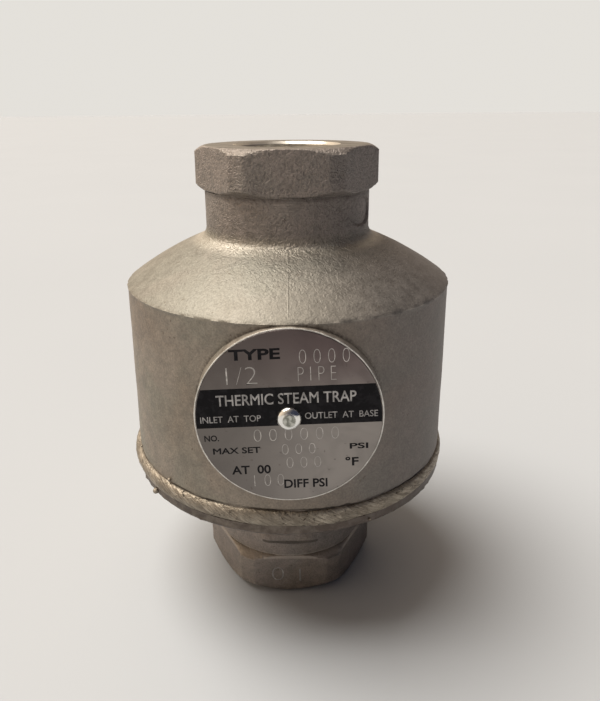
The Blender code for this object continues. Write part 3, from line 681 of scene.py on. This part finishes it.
# %% Make the upper casting
def finish_port(bm, face_z, bore_end_z):
    """Give the port's end face the second finish and its bore the third."""
    into = 1 if bore_end_z > face_z else -1
    for face in bm.faces:
        middle = face.calc_center_median()
        if (middle.z - face_z) * into < 0.02 * MM:
            face.material_index = 1
        elif hypot(middle.x, middle.y) < mouth_r and (bore_end_z - middle.z) * into > 0.0:
            face.material_index = 2


turns = 420
casting_finishes = [cast_skin, machined, bright_bore]
body_mesh = spun(upper_path, turns)
milled = mill_hexagon(body_mesh, hex_z, inlet_z, False)
moved = roughen(body_mesh, upper_is_cast, upper_features)
finish_port(body_mesh, inlet_z, neck_z)
upper = finished("cast_body", body_mesh, casting_finishes, 40)
print("upper casting:", len(upper.data.polygons), "faces,", milled, "points milled,", moved, "roughened")

# %% [markdown]
# ## The boss under the nameplate
# The plate is flat and the barrel is round, so the casting carries a flat round boss. It is spun as a
# short disc with a rounded edge and then fused to the barrel with a Boolean, so that the casting stays
# one closed skin with a clean line where the two meet.

# %% Make the boss and fuse it
recess = plate_high.y - boss_y + 0.01 * MM


def boss_outline():
    lip_r = plate_r + 0.03 * MM
    path = [(0.0, -recess)]
    run_to(path, lip_r, -recess, 2 * MM)
    path += [(lip_r, -0.05 * MM), (lip_r + 0.05 * MM, 0.0), (boss_r - 0.14 * MM, 0.0)]
    for step in range(1, 5):
        slope = pi / 2 * step / 4
        path.append((boss_r - 0.14 * MM * (1 - sin(slope)), -0.14 * MM * (1 - cos(slope))))
    run_to(path, boss_r + 0.12 * MM, -5.0 * MM, 0.5 * MM)
    run_to(path, 0.0, -5.0 * MM, 4 * MM)
    return path


def face_front(bm, y, z):
    """Turn a mesh made on the Z axis so that its top faces -Y, with that top at y and its middle at z."""
    turn = Matrix.Translation((0.0, y, z)) @ Matrix.Rotation(pi / 2, 4, "X")
    bmesh.ops.transform(bm, matrix=turn, verts=bm.verts)


def boss_is_cast(point):
    return hypot(point.x, point.z - plate_z) > plate_r + 0.06 * MM


def boss_features(point):
    """Small burrs on the rim, most of them at the upper right."""
    side = smooth_step(point.x + point.z - plate_z, 6 * MM, 18 * MM)
    near_front = smooth_step(point.y - boss_y, 0.5 * MM, 0.1 * MM)
    return 0.16 * MM * near_front * (0.15 + side) * max(0.0, cloud(point, 0.9 * MM, 50.0))


def mend_seam(mesh):
    """Remove the slivers that a Boolean leaves along its seam, and split its many-sided faces."""
    bm = bmesh.new()
    bm.from_mesh(mesh)
    sliver = 0.002 * MM
    bmesh.ops.remove_doubles(bm, verts=bm.verts, dist=sliver)
    bmesh.ops.dissolve_degenerate(bm, edges=bm.edges, dist=sliver)
    many_sided = [face for face in bm.faces if len(face.verts) > 4]
    bmesh.ops.triangulate(bm, faces=many_sided, quad_method="BEAUTY", ngon_method="BEAUTY")
    not_closed = sum(1 for edge in bm.edges if len(edge.link_faces) != 2)
    bm.to_mesh(mesh)
    bm.free()
    return not_closed


def worked_out(obj):
    """The mesh of an object after its modifiers, or of a text after it is filled."""
    bpy.context.view_layer.update()
    return bpy.data.meshes.new_from_object(obj.evaluated_get(bpy.context.evaluated_depsgraph_get()))


boss_mesh = spun(boss_outline(), 256, False)
face_front(boss_mesh, boss_y, plate_z)
roughen(boss_mesh, boss_is_cast, boss_features)
boss = finished("boss_blank", boss_mesh, casting_finishes)
fuse = upper.modifiers.new("fuse", "BOOLEAN")
fuse.operation = "UNION"
fuse.solver = "MANIFOLD"
fuse.object = boss
fused = worked_out(upper)
upper.modifiers.clear()
upper.data = fused
print("open edges after the seam is mended:", mend_seam(fused))
fused.shade_smooth()
fused.set_sharp_from_angle(angle=radians(40))
bpy.data.objects.remove(boss)
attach(upper, "trap_body")
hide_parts("inlet_body")
sharpest = mark_edges(fused)
print("fused casting:", len(fused.polygons), "faces, sharpest edge", round(sharpest, 2))

# %% [markdown]
# ## The lower casting
# The cover is the same idea turned over: a rim, a dish that mirrors the shoulder, a neck and a hexagon.
# A small raised pad on the front of its neck is where the metal ran into the mould. The spigot inside
# stands up into the body and can't be seen, so it is coarse.

# %% The lower casting's outline
rim_foot_z = weld_z - 3.0 * MM
rim_top_z = weld_z - 1.5 * MM
spigot_r = barrel_r - wall - 0.3 * MM
spigot_top_z = cover_high.z
bowl_r = spigot_r - 3.0 * MM
bowl_floor_z = 24.3 * MM
outlet_bore_r = 7.2 * MM


def lower_outline():
    dish = [(neck_r, low_neck_z)]
    shoulder(dish, rim_r, 1, fine_step)
    lift = rim_foot_z - dish[-1][1]
    path = [(bowl_r, spigot_top_z)]
    run_to(path, spigot_r, spigot_top_z, coarse_step)
    run_to(path, spigot_r, weld_z - 0.15 * MM, coarse_step)
    run_to(path, root_r, weld_z - 0.15 * MM, coarse_step)
    run_to(path, rim_r, rim_top_z, 1.2 * MM)
    run_to(path, rim_r, rim_foot_z, 0.25 * MM)
    path += [(r, z + lift) for r, z in reversed(dish[:-1])]
    run_to(path, neck_r, low_hex_z, 0.32 * MM)
    run_to(path, corner_r, low_hex_z, fine_step)
    port_side(path, low_hex_z, outlet_z)
    run_to(path, mouth_r, outlet_z, fine_step)
    run_to(path, thread_root_r, outlet_z + 0.55 * MM, coarse_step)
    run_to(path, thread_end_r, outlet_z + thread_depth, coarse_step)
    run_to(path, outlet_bore_r, outlet_z + thread_depth + 1.5 * MM, coarse_step)
    run_to(path, outlet_bore_r, bowl_floor_z, coarse_step)
    run_to(path, 19.6 * MM, bowl_floor_z, coarse_step)
    run_to(path, bowl_r, bowl_floor_z + 3.9 * MM, coarse_step)
    run_to(path, bowl_r, spigot_top_z, coarse_step)
    return path[:-1]


def lower_features(point):
    """The raised gate pad on the neck and the ragged lower corner of the rim."""
    x, y, z = point
    r = hypot(x, y)
    height = 0.0
    if y < 0.0 and r < flat_r + 2 * MM and z > low_hex_z + MM:
        wide = smooth_step(abs(x), 8.4 * MM, 3.6 * MM)
        pad_low = low_neck_z - 3.95 * MM
        tall = smooth_step(z, pad_low - 0.12 * MM, pad_low + 0.12 * MM)
        tall *= smooth_step(z, pad_low + 3.8 * MM, pad_low + 0.3 * MM)
        height += wide * tall * (0.5 * MM + r - sqrt(max(0.0, r * r - x * x)))
    if r > rim_r - 1.2 * MM:
        flash = exp(-(((z - rim_foot_z) / (0.3 * MM)) ** 2))
        height += flash * 0.3 * MM * max(0.0, cloud((x, y, 0.0), 1.6 * MM, 21.0))
    return height


def lower_is_cast(point):
    x, y, z = point
    r = hypot(x, y)
    outside = r > mouth_r + 0.3 * MM and outlet_z + 0.01 * MM < z < rim_top_z
    in_spigot = r < spigot_r and z > 24.0 * MM
    return outside and not in_spigot


# %% Make the lower casting
cover_mesh = spun(lower_outline(), turns)
milled = mill_hexagon(cover_mesh, outlet_z, low_hex_z, True)
moved = roughen(cover_mesh, lower_is_cast, lower_features)
finish_port(cover_mesh, outlet_z, 24 * MM)
lower = finished("cast_cover", cover_mesh, casting_finishes, 40)
mark_edges(lower.data)
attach(lower, "trap_body")
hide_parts("outlet_cover")
print("lower casting:", len(lower.data.polygons), "faces,", milled, "points milled,", moved, "roughened")

# %% [markdown]
# ## The closure weld
# A welder runs one bead round the joint, and it is never even: it swells and narrows, each puddle leaves
# a small crescent, and here and there a drop of spatter sticks beside it. The section is a flat arch spun
# round the axis, and its points are then pushed by those three patterns.

# %% The finish of the weld
def weld_metal():
    material, where = begin("weld_bead_metal", 0.95)
    slant = {"Vector": where, "Rotation": (0.0, radians(-32), 0.0)}
    turn = add_node(tree_of(where), "ShaderNodeMapping", slant).outputs[0]
    streaks = cloudy(scaled(turn, 260.0, 260.0, 2300.0), 1.0, 3.0, 0.7, 0.9)
    patches = cloudy(where, 190.0, 3.0, 0.6)
    pits = stretch(cloudy(where, 1500.0, 2.0, 0.6, 0.5), 0.60, 0.70)
    ground = stretch(streaks, 0.35, 0.65)
    colour = mixed(ground, (0.225, 0.19, 0.152), (0.43, 0.38, 0.31))
    colour = mixed(stretch(patches, 0.45, 0.62, 0.0, 0.6), colour, (0.205, 0.178, 0.142))
    pitted = stretch(cloudy(where, 90.0, 1.0), 0.40, 0.52)
    pits = times(pits, pitted)
    colour = mixed(times(pits, 0.8), colour, (0.06, 0.05, 0.04))
    lumps = cloudy(where, 1500.0, 2.0, 0.55, 0.6)
    height = calc("MULTIPLY_ADD", streaks, 0.7, times(pits, -1.3))
    height = calc("MULTIPLY_ADD", lumps, 0.9, height)
    return complete(material, colour, stretch(streaks, 0.3, 0.7, 0.64, 0.48), height, 0.24 * MM)


bead_metal = weld_metal()

# %% Make the weld
bead_turns = 900
bead_half = 1.55 * MM
bead_crown = 0.75 * MM
bead_rows = 22


def bead_outline():
    path = []
    for row in range(bead_rows + 1):
        slope = pi / 2 - pi * row / bead_rows
        path.append((barrel_r - 0.12 * MM + bead_crown * cos(slope) ** 0.8, weld_z + bead_half * sin(slope)))
    path.append((root_r + 0.6 * MM, weld_z))
    return path


heavy_bearing = radians(-82)


def shape_bead(bm):
    for vert in bm.verts:
        x, y, z = vert.co
        r = hypot(x, y)
        if r < root_r + 0.7 * MM:
            continue
        angle = atan2(x, -y)
        along = (x, y, 0.0)
        share = (z - weld_z) / bead_half
        crest = sqrt(max(0.0, 1 - share * share))
        puddle = (angle * barrel_r / (1.55 * MM) + 0.9 * share * share) % 1.0
        ripple = 0.045 * MM * (puddle ** 2 - 0.33)
        swell = 0.16 * MM * cloud(along, 11 * MM, 5.0) + 0.09 * MM * cloud(vert.co, 1.4 * MM, 9.0)
        swell += 0.55 * MM * exp(-(((angle - heavy_bearing) / radians(38)) ** 2))
        new_r = r + crest * (swell + ripple)
        widen = 1 + 0.14 * cloud(along, 7 * MM, 15.0) + 0.05 * cloud(along, 1.3 * MM, 25.0)
        vert.co.x *= new_r / r
        vert.co.y *= new_r / r
        vert.co.z = weld_z + (z - weld_z) * widen + 0.10 * MM * cloud(along, 16 * MM, 33.0)


weld_mesh = spun(bead_outline(), bead_turns)
shape_bead(weld_mesh)
# Each drop of spatter is (bearing in degrees, height above the weld in mm, radius in mm).
spatter = [(-44, 2.3, 0.36), (-53, -2.75, 0.62), (-69, 2.6, 0.25)]
spatter += [(26, -2.5, 0.25), (118, 2.6, 0.36), (205, 2.1, 0.4)]
for bearing, rise, size in spatter:
    turn = radians(bearing)
    out = (barrel_r if rise > 0 else rim_r) + 0.15 * MM
    place = Vector((sin(turn) * out, -cos(turn) * out, weld_z + rise * MM))
    ball = bmesh.ops.create_icosphere(
        weld_mesh, subdivisions=3, radius=size * MM, matrix=Matrix.Translation(place)
    )
    for vert in ball["verts"]:
        vert.co += (vert.co - place) * 0.18 * cloud(vert.co, 0.5 * MM)
weld = finished("weld_bead", weld_mesh, [bead_metal], 60)
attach(weld, "trap_body")
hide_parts("closure_weld")
print("weld:", len(weld.data.polygons), "faces")

# %% [markdown]
# ## Screw threads in the ports
# A taper pipe thread is a ridge that winds down the bore while the bore narrows. Spinning a small
# triangle gives rings, but spin also takes a step along the axis for each turn of the tool, and that
# makes a true helix. The taper comes afterwards, by drawing the points in as they go deeper.

# %% Make both threads
thread_pitch = 25.4 * MM / 14
thread_turns = 7
steps_per_turn = 72


def thread_ridge(name, face_z, into):
    bm = bmesh.new()
    half = 0.46 * thread_pitch
    flat = 0.06 * thread_pitch
    deep = 1.15 * MM
    root = thread_root_r + 0.12 * MM
    start_z = face_z + into * (0.9 * MM + half)
    section = [(root, -half), (root, half), (root - deep, flat), (root - deep, -flat)]
    corners = [bm.verts.new((r, 0.0, start_z + z)) for r, z in section]
    tooth = bm.faces.new(corners)
    steps = thread_turns * steps_per_turn
    whole_turn = 2 * pi * thread_turns
    rise = (0, 0, into * thread_pitch / steps_per_turn)
    bmesh.ops.spin(
        bm, geom=[tooth], cent=(0, 0, 0), axis=(0, 0, into), dvec=rise, angle=whole_turn, steps=steps
    )
    bmesh.ops.recalc_face_normals(bm, faces=bm.faces)
    for vert in bm.verts:
        r = hypot(vert.co.x, vert.co.y)
        depth = abs(vert.co.z - face_z)
        new_r = r - depth / 32
        if depth < 2.0 * MM and r < root - 0.2 * MM:
            new_r = max(new_r, mouth_r - max(0.0, depth - 0.1 * MM) * 0.9)
        vert.co.x *= new_r / r
        vert.co.y *= new_r / r
    thread = finished(name, bm, [bright_bore], 25)
    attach(thread, "trap_body")
    return thread


inlet_thread = thread_ridge("inlet_thread", inlet_z, -1)
outlet_thread = thread_ridge("outlet_thread", outlet_z, 1)
thread_faces = [len(thread.data.polygons) for thread in (inlet_thread, outlet_thread)]
print("threads:", thread_faces, "faces, pitch", round(thread_pitch / MM, 3), "mm")

# %% [markdown]
# ## The nameplate
# The plate is a stamped disc of thin aluminium, printed with a black band and black legends, and held by
# one drive pin through its middle. The print could be painted by the material, but its edges would then
# be only as sharp as a texture. Here it is real ink: thin pieces lying on the plate, with their own gloss.
# The words are plain ones, and the stamped figures are zeros.

# %% Finishes of the plate, the ink and the pin
def plate_metal():
    material, where = begin("plate_satin_aluminium", 1.0)
    smear = cloudy(where, 120.0, 3.0, 0.55, 1.2)
    rolled = cloudy(scaled(where, 2600.0, 200.0, 140.0), 1.0, 2.0, 0.6)
    x, _, z = split(where)
    # Painted shade: the plate is darker towards its top.
    height_up = calc("MULTIPLY_ADD", smear, 4 * MM, z)
    painted_top_shade = stretch(height_up, plate_z, plate_z + plate_r)
    bare = mixed(painted_top_shade, (0.285, 0.259, 0.240), (0.146, 0.111, 0.108))
    dim = mixed(painted_top_shade, (0.24, 0.219, 0.204), (0.13, 0.102, 0.099))
    colour = mixed(stretch(smear, 0.35, 0.7), bare, dim)
    # Painted shade: the plate is darker towards its left.
    across = calc("MULTIPLY_ADD", smear, 8 * MM, x)
    painted_left_shade = stretch(across, 12 * MM, -10 * MM, 0.0, 0.72)
    colour = mixed(painted_left_shade, colour, (0.115, 0.103, 0.096))
    dots = stretch(cloudy(where, 1400.0, 1.0), 0.73, 0.77)
    colour = mixed(times(dots, 0.5), colour, (0.12, 0.10, 0.09))
    height = calc("MULTIPLY_ADD", rolled, 0.3, cloudy(where, 90.0, 1.0))
    return complete(material, colour, stretch(smear, 0.3, 0.7, 0.30, 0.40), height, 0.02 * MM)


def ink(name, colour, metallic, roughness):
    """Printed ink, or the bare metal left inside a printed band."""
    material, where = begin(name, metallic, 0.1)
    wear = cloudy(where, 800.0, 3.0, 0.6)
    pale = tuple(min(1.0, c * 1.7 + 0.004) for c in colour)
    colour = mixed(stretch(wear, 0.45, 0.62, 0.0, 0.9), colour, pale)
    rough = stretch(wear, 0.3, 0.7, roughness, roughness + 0.12)
    return complete(material, colour, rough, wear, 0.006 * MM)


def polished_pin():
    material, where = begin("pin_polished_steel", 1.0)
    x, _, z = split(where)
    middle = stretch(reach(x, calc("SUBTRACT", z, plate_z)), 1.25 * MM, 1.0 * MM)
    dents = cloudy(where, 1500.0, 2.0, 0.5)
    blotch = mixed(stretch(dents, 0.36, 0.62), (0.24, 0.24, 0.21), (0.55, 0.55, 0.50))
    colour = mixed(middle, (0.86, 0.85, 0.82), blotch)
    rough = calc("MULTIPLY_ADD", dents, 0.1, calc("MULTIPLY_ADD", middle, 0.20, 0.14))
    height = times(dents, calc("MULTIPLY_ADD", middle, 0.8, 0.25))
    return complete(material, colour, rough, height, 0.12 * MM)


plate_skin = plate_metal()
black_ink = ink("black_ink", (0.008, 0.0075, 0.009), 0.0, 0.5)
band_letters = ink("bare_letters", (0.29, 0.28, 0.275), 0.7, 0.42)
stamp_marks = ink("stamped_marks", (0.36, 0.34, 0.32), 1.0, 0.36)
pin_skin = polished_pin()

# %% Make the plate and its band
plate_thickness = plate_high.y - plate_low.y
print_tilt = radians(-2)


def thicken(bm, height):
    """Pull a flat sheet along Z into a solid of this height."""
    lid = bmesh.ops.extrude_face_region(bm, geom=bm.faces[:])
    moved = [item for item in lid["geom"] if isinstance(item, bmesh.types.BMVert)]
    bmesh.ops.translate(bm, verts=moved, vec=(0.0, 0.0, height))
    bmesh.ops.recalc_face_normals(bm, faces=bm.faces)


def disc(radius, thickness, turns, bevel_width):
    """A round plate with its top at z = 0 and softened edges."""
    bm = bmesh.new()
    bmesh.ops.create_circle(bm, cap_ends=True, radius=radius, segments=turns)
    thicken(bm, -thickness)
    rim = [edge for edge in bm.edges if edge.calc_face_angle(0.0) > 1.0]
    bmesh.ops.bevel(
        bm, geom=rim, offset=bevel_width, segments=3, profile=0.5, affect="EDGES", material=-1
    )
    return bm


plate_mesh = disc(plate_r, plate_thickness, 256, 0.08 * MM)
face_front(plate_mesh, plate_y, plate_z)
plate = finished("plate_disc", plate_mesh, [plate_skin], 50)
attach(plate, "trap_body")
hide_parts("nameplate")

band_low = -1.3 * MM
band_high = 5.85 * MM
band_r = plate_r - 0.1 * MM
ink_depth = 0.02 * MM
band_mesh = bmesh.new()
bmesh.ops.create_circle(band_mesh, cap_ends=True, radius=band_r, segments=256)
for height, direction in ((band_high, 1), (band_low, -1)):
    everything = band_mesh.verts[:] + band_mesh.edges[:] + band_mesh.faces[:]
    bmesh.ops.bisect_plane(
        band_mesh, geom=everything, plane_co=(0, height, 0), plane_no=(0, direction, 0), clear_outer=True
    )
thicken(band_mesh, ink_depth)
print_turn = Matrix.Rotation(-print_tilt, 3, "Z")
bmesh.ops.rotate(band_mesh, verts=band_mesh.verts, cent=(0, 0, 0), matrix=print_turn)
face_front(band_mesh, plate_y + 0.002 * MM, plate_z)
band = finished("plate_band", band_mesh, [black_ink], 30)
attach(band, "trap_body")
print("band height", round((band_high - band_low) / MM, 2), "mm")

# %% Lettering
def lettering(name, rows, material, surface_y, middle_z):
    """Join several short texts into one flat piece of print that faces -Y.

    Each row is (words, left, base, width, height, weight) in millimetres from the middle, so the words
    are stretched to fill the space that the layout gives them. A weight above 0 makes strokes bolder.
    """
    whole = bmesh.new()
    for words, left, base, width, height, weight in rows:
        curve = bpy.data.curves.new(name, "FONT")
        curve.body = words
        curve.extrude = 0.01
        curve.bevel_depth = max(0.0, weight)
        curve.bevel_resolution = 0
        curve.offset = min(0.0, weight)
        curve.resolution_u = 4
        text = place_object(name, curve)
        flat = worked_out(text)
        bpy.data.objects.remove(text)
        corners = [vert.co.copy() for vert in flat.vertices]
        low = Vector([min(co[i] for co in corners) for i in range(3)])
        high = Vector([max(co[i] for co in corners) for i in range(3)])
        thin = ink_depth / MM / (high.z - low.z)
        size = Matrix.Diagonal((width / (high.x - low.x), height / (high.y - low.y), thin, 1.0))
        move = Matrix.Translation((left, base, 0.0)) @ size @ Matrix.Translation(-low)
        flat.transform(Matrix.Scale(MM, 4) @ move)
        whole.from_mesh(flat)
        bpy.data.meshes.remove(flat)
    bmesh.ops.remove_doubles(whole, verts=whole.verts, dist=0.0005 * MM)
    bmesh.ops.rotate(whole, verts=whole.verts, cent=(0, 0, 0), matrix=print_turn)
    face_front(whole, surface_y, middle_z)
    piece = finished(name, whole, [material], 30)
    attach(piece, "trap_body")
    return piece


legend_rows = [
    ("TYPE", -9.5, 10.9, 8.5, 1.95, 0.032),
    ("NO.", -14.7, -3.85, 2.5, 1.15, 0.022),
    ("MAX SET", -13.4, -6.4, 8.2, 1.2, 0.022),
    ("AT  00", -10.4, -10.5, 6.8, 1.7, 0.024),
    ("DIFF PSI", -1.4, -13.6, 7.6, 1.75, 0.024),
    ("PSI", 10.2, -6.3, 3.2, 1.1, 0.022),
    ("°F", 9.4, -9.6, 2.3, 1.75, 0.024),
]
legends = lettering("plate_legends", legend_rows, black_ink, plate_y + 0.003 * MM, plate_z)

band_face_y = plate_y - ink_depth + 0.005 * MM
title_rows = [("THERMIC STEAM TRAP", -12.2, 2.7, 23.7, 2.05, 0.010)]
title = lettering("plate_title", title_rows, band_letters, band_face_y, plate_z)
subtitle_rows = [
    ("INLET  AT  TOP", -15.1, -0.35, 10.3, 1.2, 0.004),
    ("OUTLET  AT  BASE", 2.7, -0.25, 12.4, 1.2, 0.004),
]
subtitle = lettering("plate_subtitle", subtitle_rows, band_letters, band_face_y, plate_z)

stamp_rows = [
    ("0 0 0 0", 2.1, 9.9, 8.4, 2.5, -0.030),
    ("1/2", -10.2, 6.5, 5.2, 3.2, -0.026),
    ("P I P E", 1.8, 6.8, 6.4, 2.5, -0.028),
    ("0 0 0 0 0 0", -6.2, -4.2, 14.6, 2.3, -0.030),
    ("0 0 0", -1.5, -6.9, 5.8, 2.0, -0.030),
    ("0 0 0", -0.8, -9.6, 6.0, 2.1, -0.030),
    ("1 0 0", -6.6, -13.0, 5.2, 2.3, -0.030),
]
stamps = lettering("plate_stamps", stamp_rows, stamp_marks, plate_y + 0.008 * MM, plate_z)
flat_rows = [("0", -4.0, -0.9, 2.6, 3.3, -0.028), ("1", 1.9, -1.4, 0.4, 3.2, -0.030)]
flat_stamp = lettering("outlet_flat_stamp", flat_rows, stamp_marks, -flat_r - 0.02 * MM, outlet_z + 4.4 * MM)
print("print pieces:", [piece.name for piece in (legends, title, subtitle, stamps, flat_stamp)])

# %% [markdown]
# ## The drive pin
# The pin is hammered in, so its domed head ends in a flattened, slightly rough middle with a bright ring
# round it. A half sphere would miss that ring, which is the brightest thing on the object.

# %% Make the pin
def pin_outline():
    head_r = (pin_high.x - pin_low.x) / 2
    head_height = 1.25 * MM
    flat_top = 0.85 * MM
    seat = pin_low.y + head_height
    path = [(0.0, head_height - 0.10 * MM), (0.35 * MM, head_height - 0.08 * MM), (flat_top, head_height)]
    for step in range(1, 13):
        slope = pi / 2 * step / 12
        path.append((flat_top + (head_r - flat_top) * sin(slope), head_height * cos(slope)))
    path += [(head_r - 0.06 * MM, -0.1 * MM), (1.0 * MM, -0.1 * MM)]
    run_to(path, 1.0 * MM, -(pin_high.y - seat), MM)
    path.append((0.0, -(pin_high.y - seat)))
    return path, seat


pin_path, pin_seat = pin_outline()
pin_mesh = spun(pin_path, 96, False)
face_front(pin_mesh, pin_seat, plate_z)
for vert in pin_mesh.verts:
    if vert.co.y < plate_y:
        vert.co += Vector.Fill(3, 0.05 * MM * cloud(vert.co, 1.1 * MM))
pin = finished("pin_head", pin_mesh, [pin_skin], 50)
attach(pin, "trap_body")
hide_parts("nameplate_pin")
print("pin:", len(pin.data.polygons), "faces")

# %% [markdown]
# ## The pieces inside
# The valve, the bimetal stack and the strainer are shut in by the weld, and only the foot of the seat and
# the top of the strainer can be glimpsed through the ports. Their CAD shapes are right, so they keep them
# and only get real finishes: turned steel, rolled bimetal, soft nickel and perforated sheet.

# %% Finishes of the inner pieces
def rolled_strip(name, colour, other, scale):
    """Thin rolled strip. The two colours are the two layers, or the sheet and its heat tint."""
    material, where = begin(name, 1.0)
    tint = cloudy(where, scale, 3.0, 0.6, 0.8)
    lines = cloudy(scaled(where, 150.0, 3000.0, 3000.0), 1.0, 2.0, 0.6)
    colour = mixed(stretch(tint, 0.4, 0.65), colour, other)
    return complete(material, colour, stretch(lines, 0.3, 0.7, 0.26, 0.44), lines, 0.015 * MM)


inner_finish = {
    "machined_stainless": turned_steel("turned_stainless", (0.60, 0.58, 0.54), 0.22 * MM, 0.26),
    "bimetal": rolled_strip("bimetal_strip", (0.58, 0.50, 0.38), (0.44, 0.36, 0.28), 180.0),
    "gasket_nickel": rolled_strip("soft_nickel", (0.50, 0.49, 0.45), (0.38, 0.37, 0.34), 300.0),
    "screen_stainless": rolled_strip("screen_sheet", (0.52, 0.51, 0.48), (0.40, 0.38, 0.34), 240.0),
}
slot_of = {part["node"]: part["material_slot"] for part in frame["record"]["subparts"]}
dressed = 0
for node_name, node in frame["nodes"].items():
    finish = inner_finish.get(slot_of[node_name])
    if finish is not None:
        node.data.materials.clear()
        node.data.materials.append(finish)
        dressed += 1
print("inner pieces dressed:", dressed)

# %% [markdown]
# ## Light and floor
# The castings look right only under light that comes mostly from above: the shoulder then shines and the
# front stays darker. A small lamp would leave a hard shadow and a dark far floor, so this one is a sun made
# 42 degrees wide, a little to the left. The sky is warm on the left and dim on the right, and the camera
# sees an even pale tone behind the object.

# %% Floor, sky and lamp
def pale_floor():
    material, where = begin("floor_paper", 0.0)
    colour = mixed(cloudy(where, 6.0, 2.0), (0.420, 0.440, 0.465), (0.440, 0.460, 0.485))
    return complete(material, colour, 0.9)


floor_mesh = bmesh.new()
bmesh.ops.create_grid(floor_mesh, x_segments=1, y_segments=1, size=12.0)
bmesh.ops.translate(floor_mesh, verts=floor_mesh.verts, vec=(0.0, 0.0, outlet_z - 0.02 * MM))
floor = finished("floor", floor_mesh, [pale_floor()])

world = bpy.data.worlds.new("studio")
world.use_nodes = True
bpy.context.scene.world = world
sky = world.node_tree
background = sky.nodes["Background"]
direction = add_node(sky, "ShaderNodeTexCoord").outputs["Generated"]
across, along = split(direction)[:2]
lean = calc("MULTIPLY_ADD", across, -0.8, times(along, 0.5))
warm_side = mixed(stretch(lean, -0.7, 0.9), (0.040, 0.045, 0.070), (1.12, 0.90, 0.67))
seen = add_node(sky, "ShaderNodeLightPath").outputs["Is Camera Ray"]
shown = mixed(seen, warm_side, (0.775, 0.75, 0.705))
plug(shown, background.inputs["Color"])
plug(1.0, background.inputs["Strength"])

lamp_data = bpy.data.lights.new("broad_lamp", "SUN")
lamp_data.energy = 4.15
lamp_data.color = (1.0, 0.96, 0.895)
lamp_data.angle = radians(42)
lamp = place_object("broad_lamp", lamp_data)
lamp_direction = Vector((0.42, -0.07, -1.0))
lamp.rotation_euler = lamp_direction.to_track_quat("-Z", "Y").to_euler()
bpy.context.scene.view_settings.view_transform = "Standard"
print("lamp:", lamp_data.energy, "over", round(lamp_data.angle, 2), "radians")
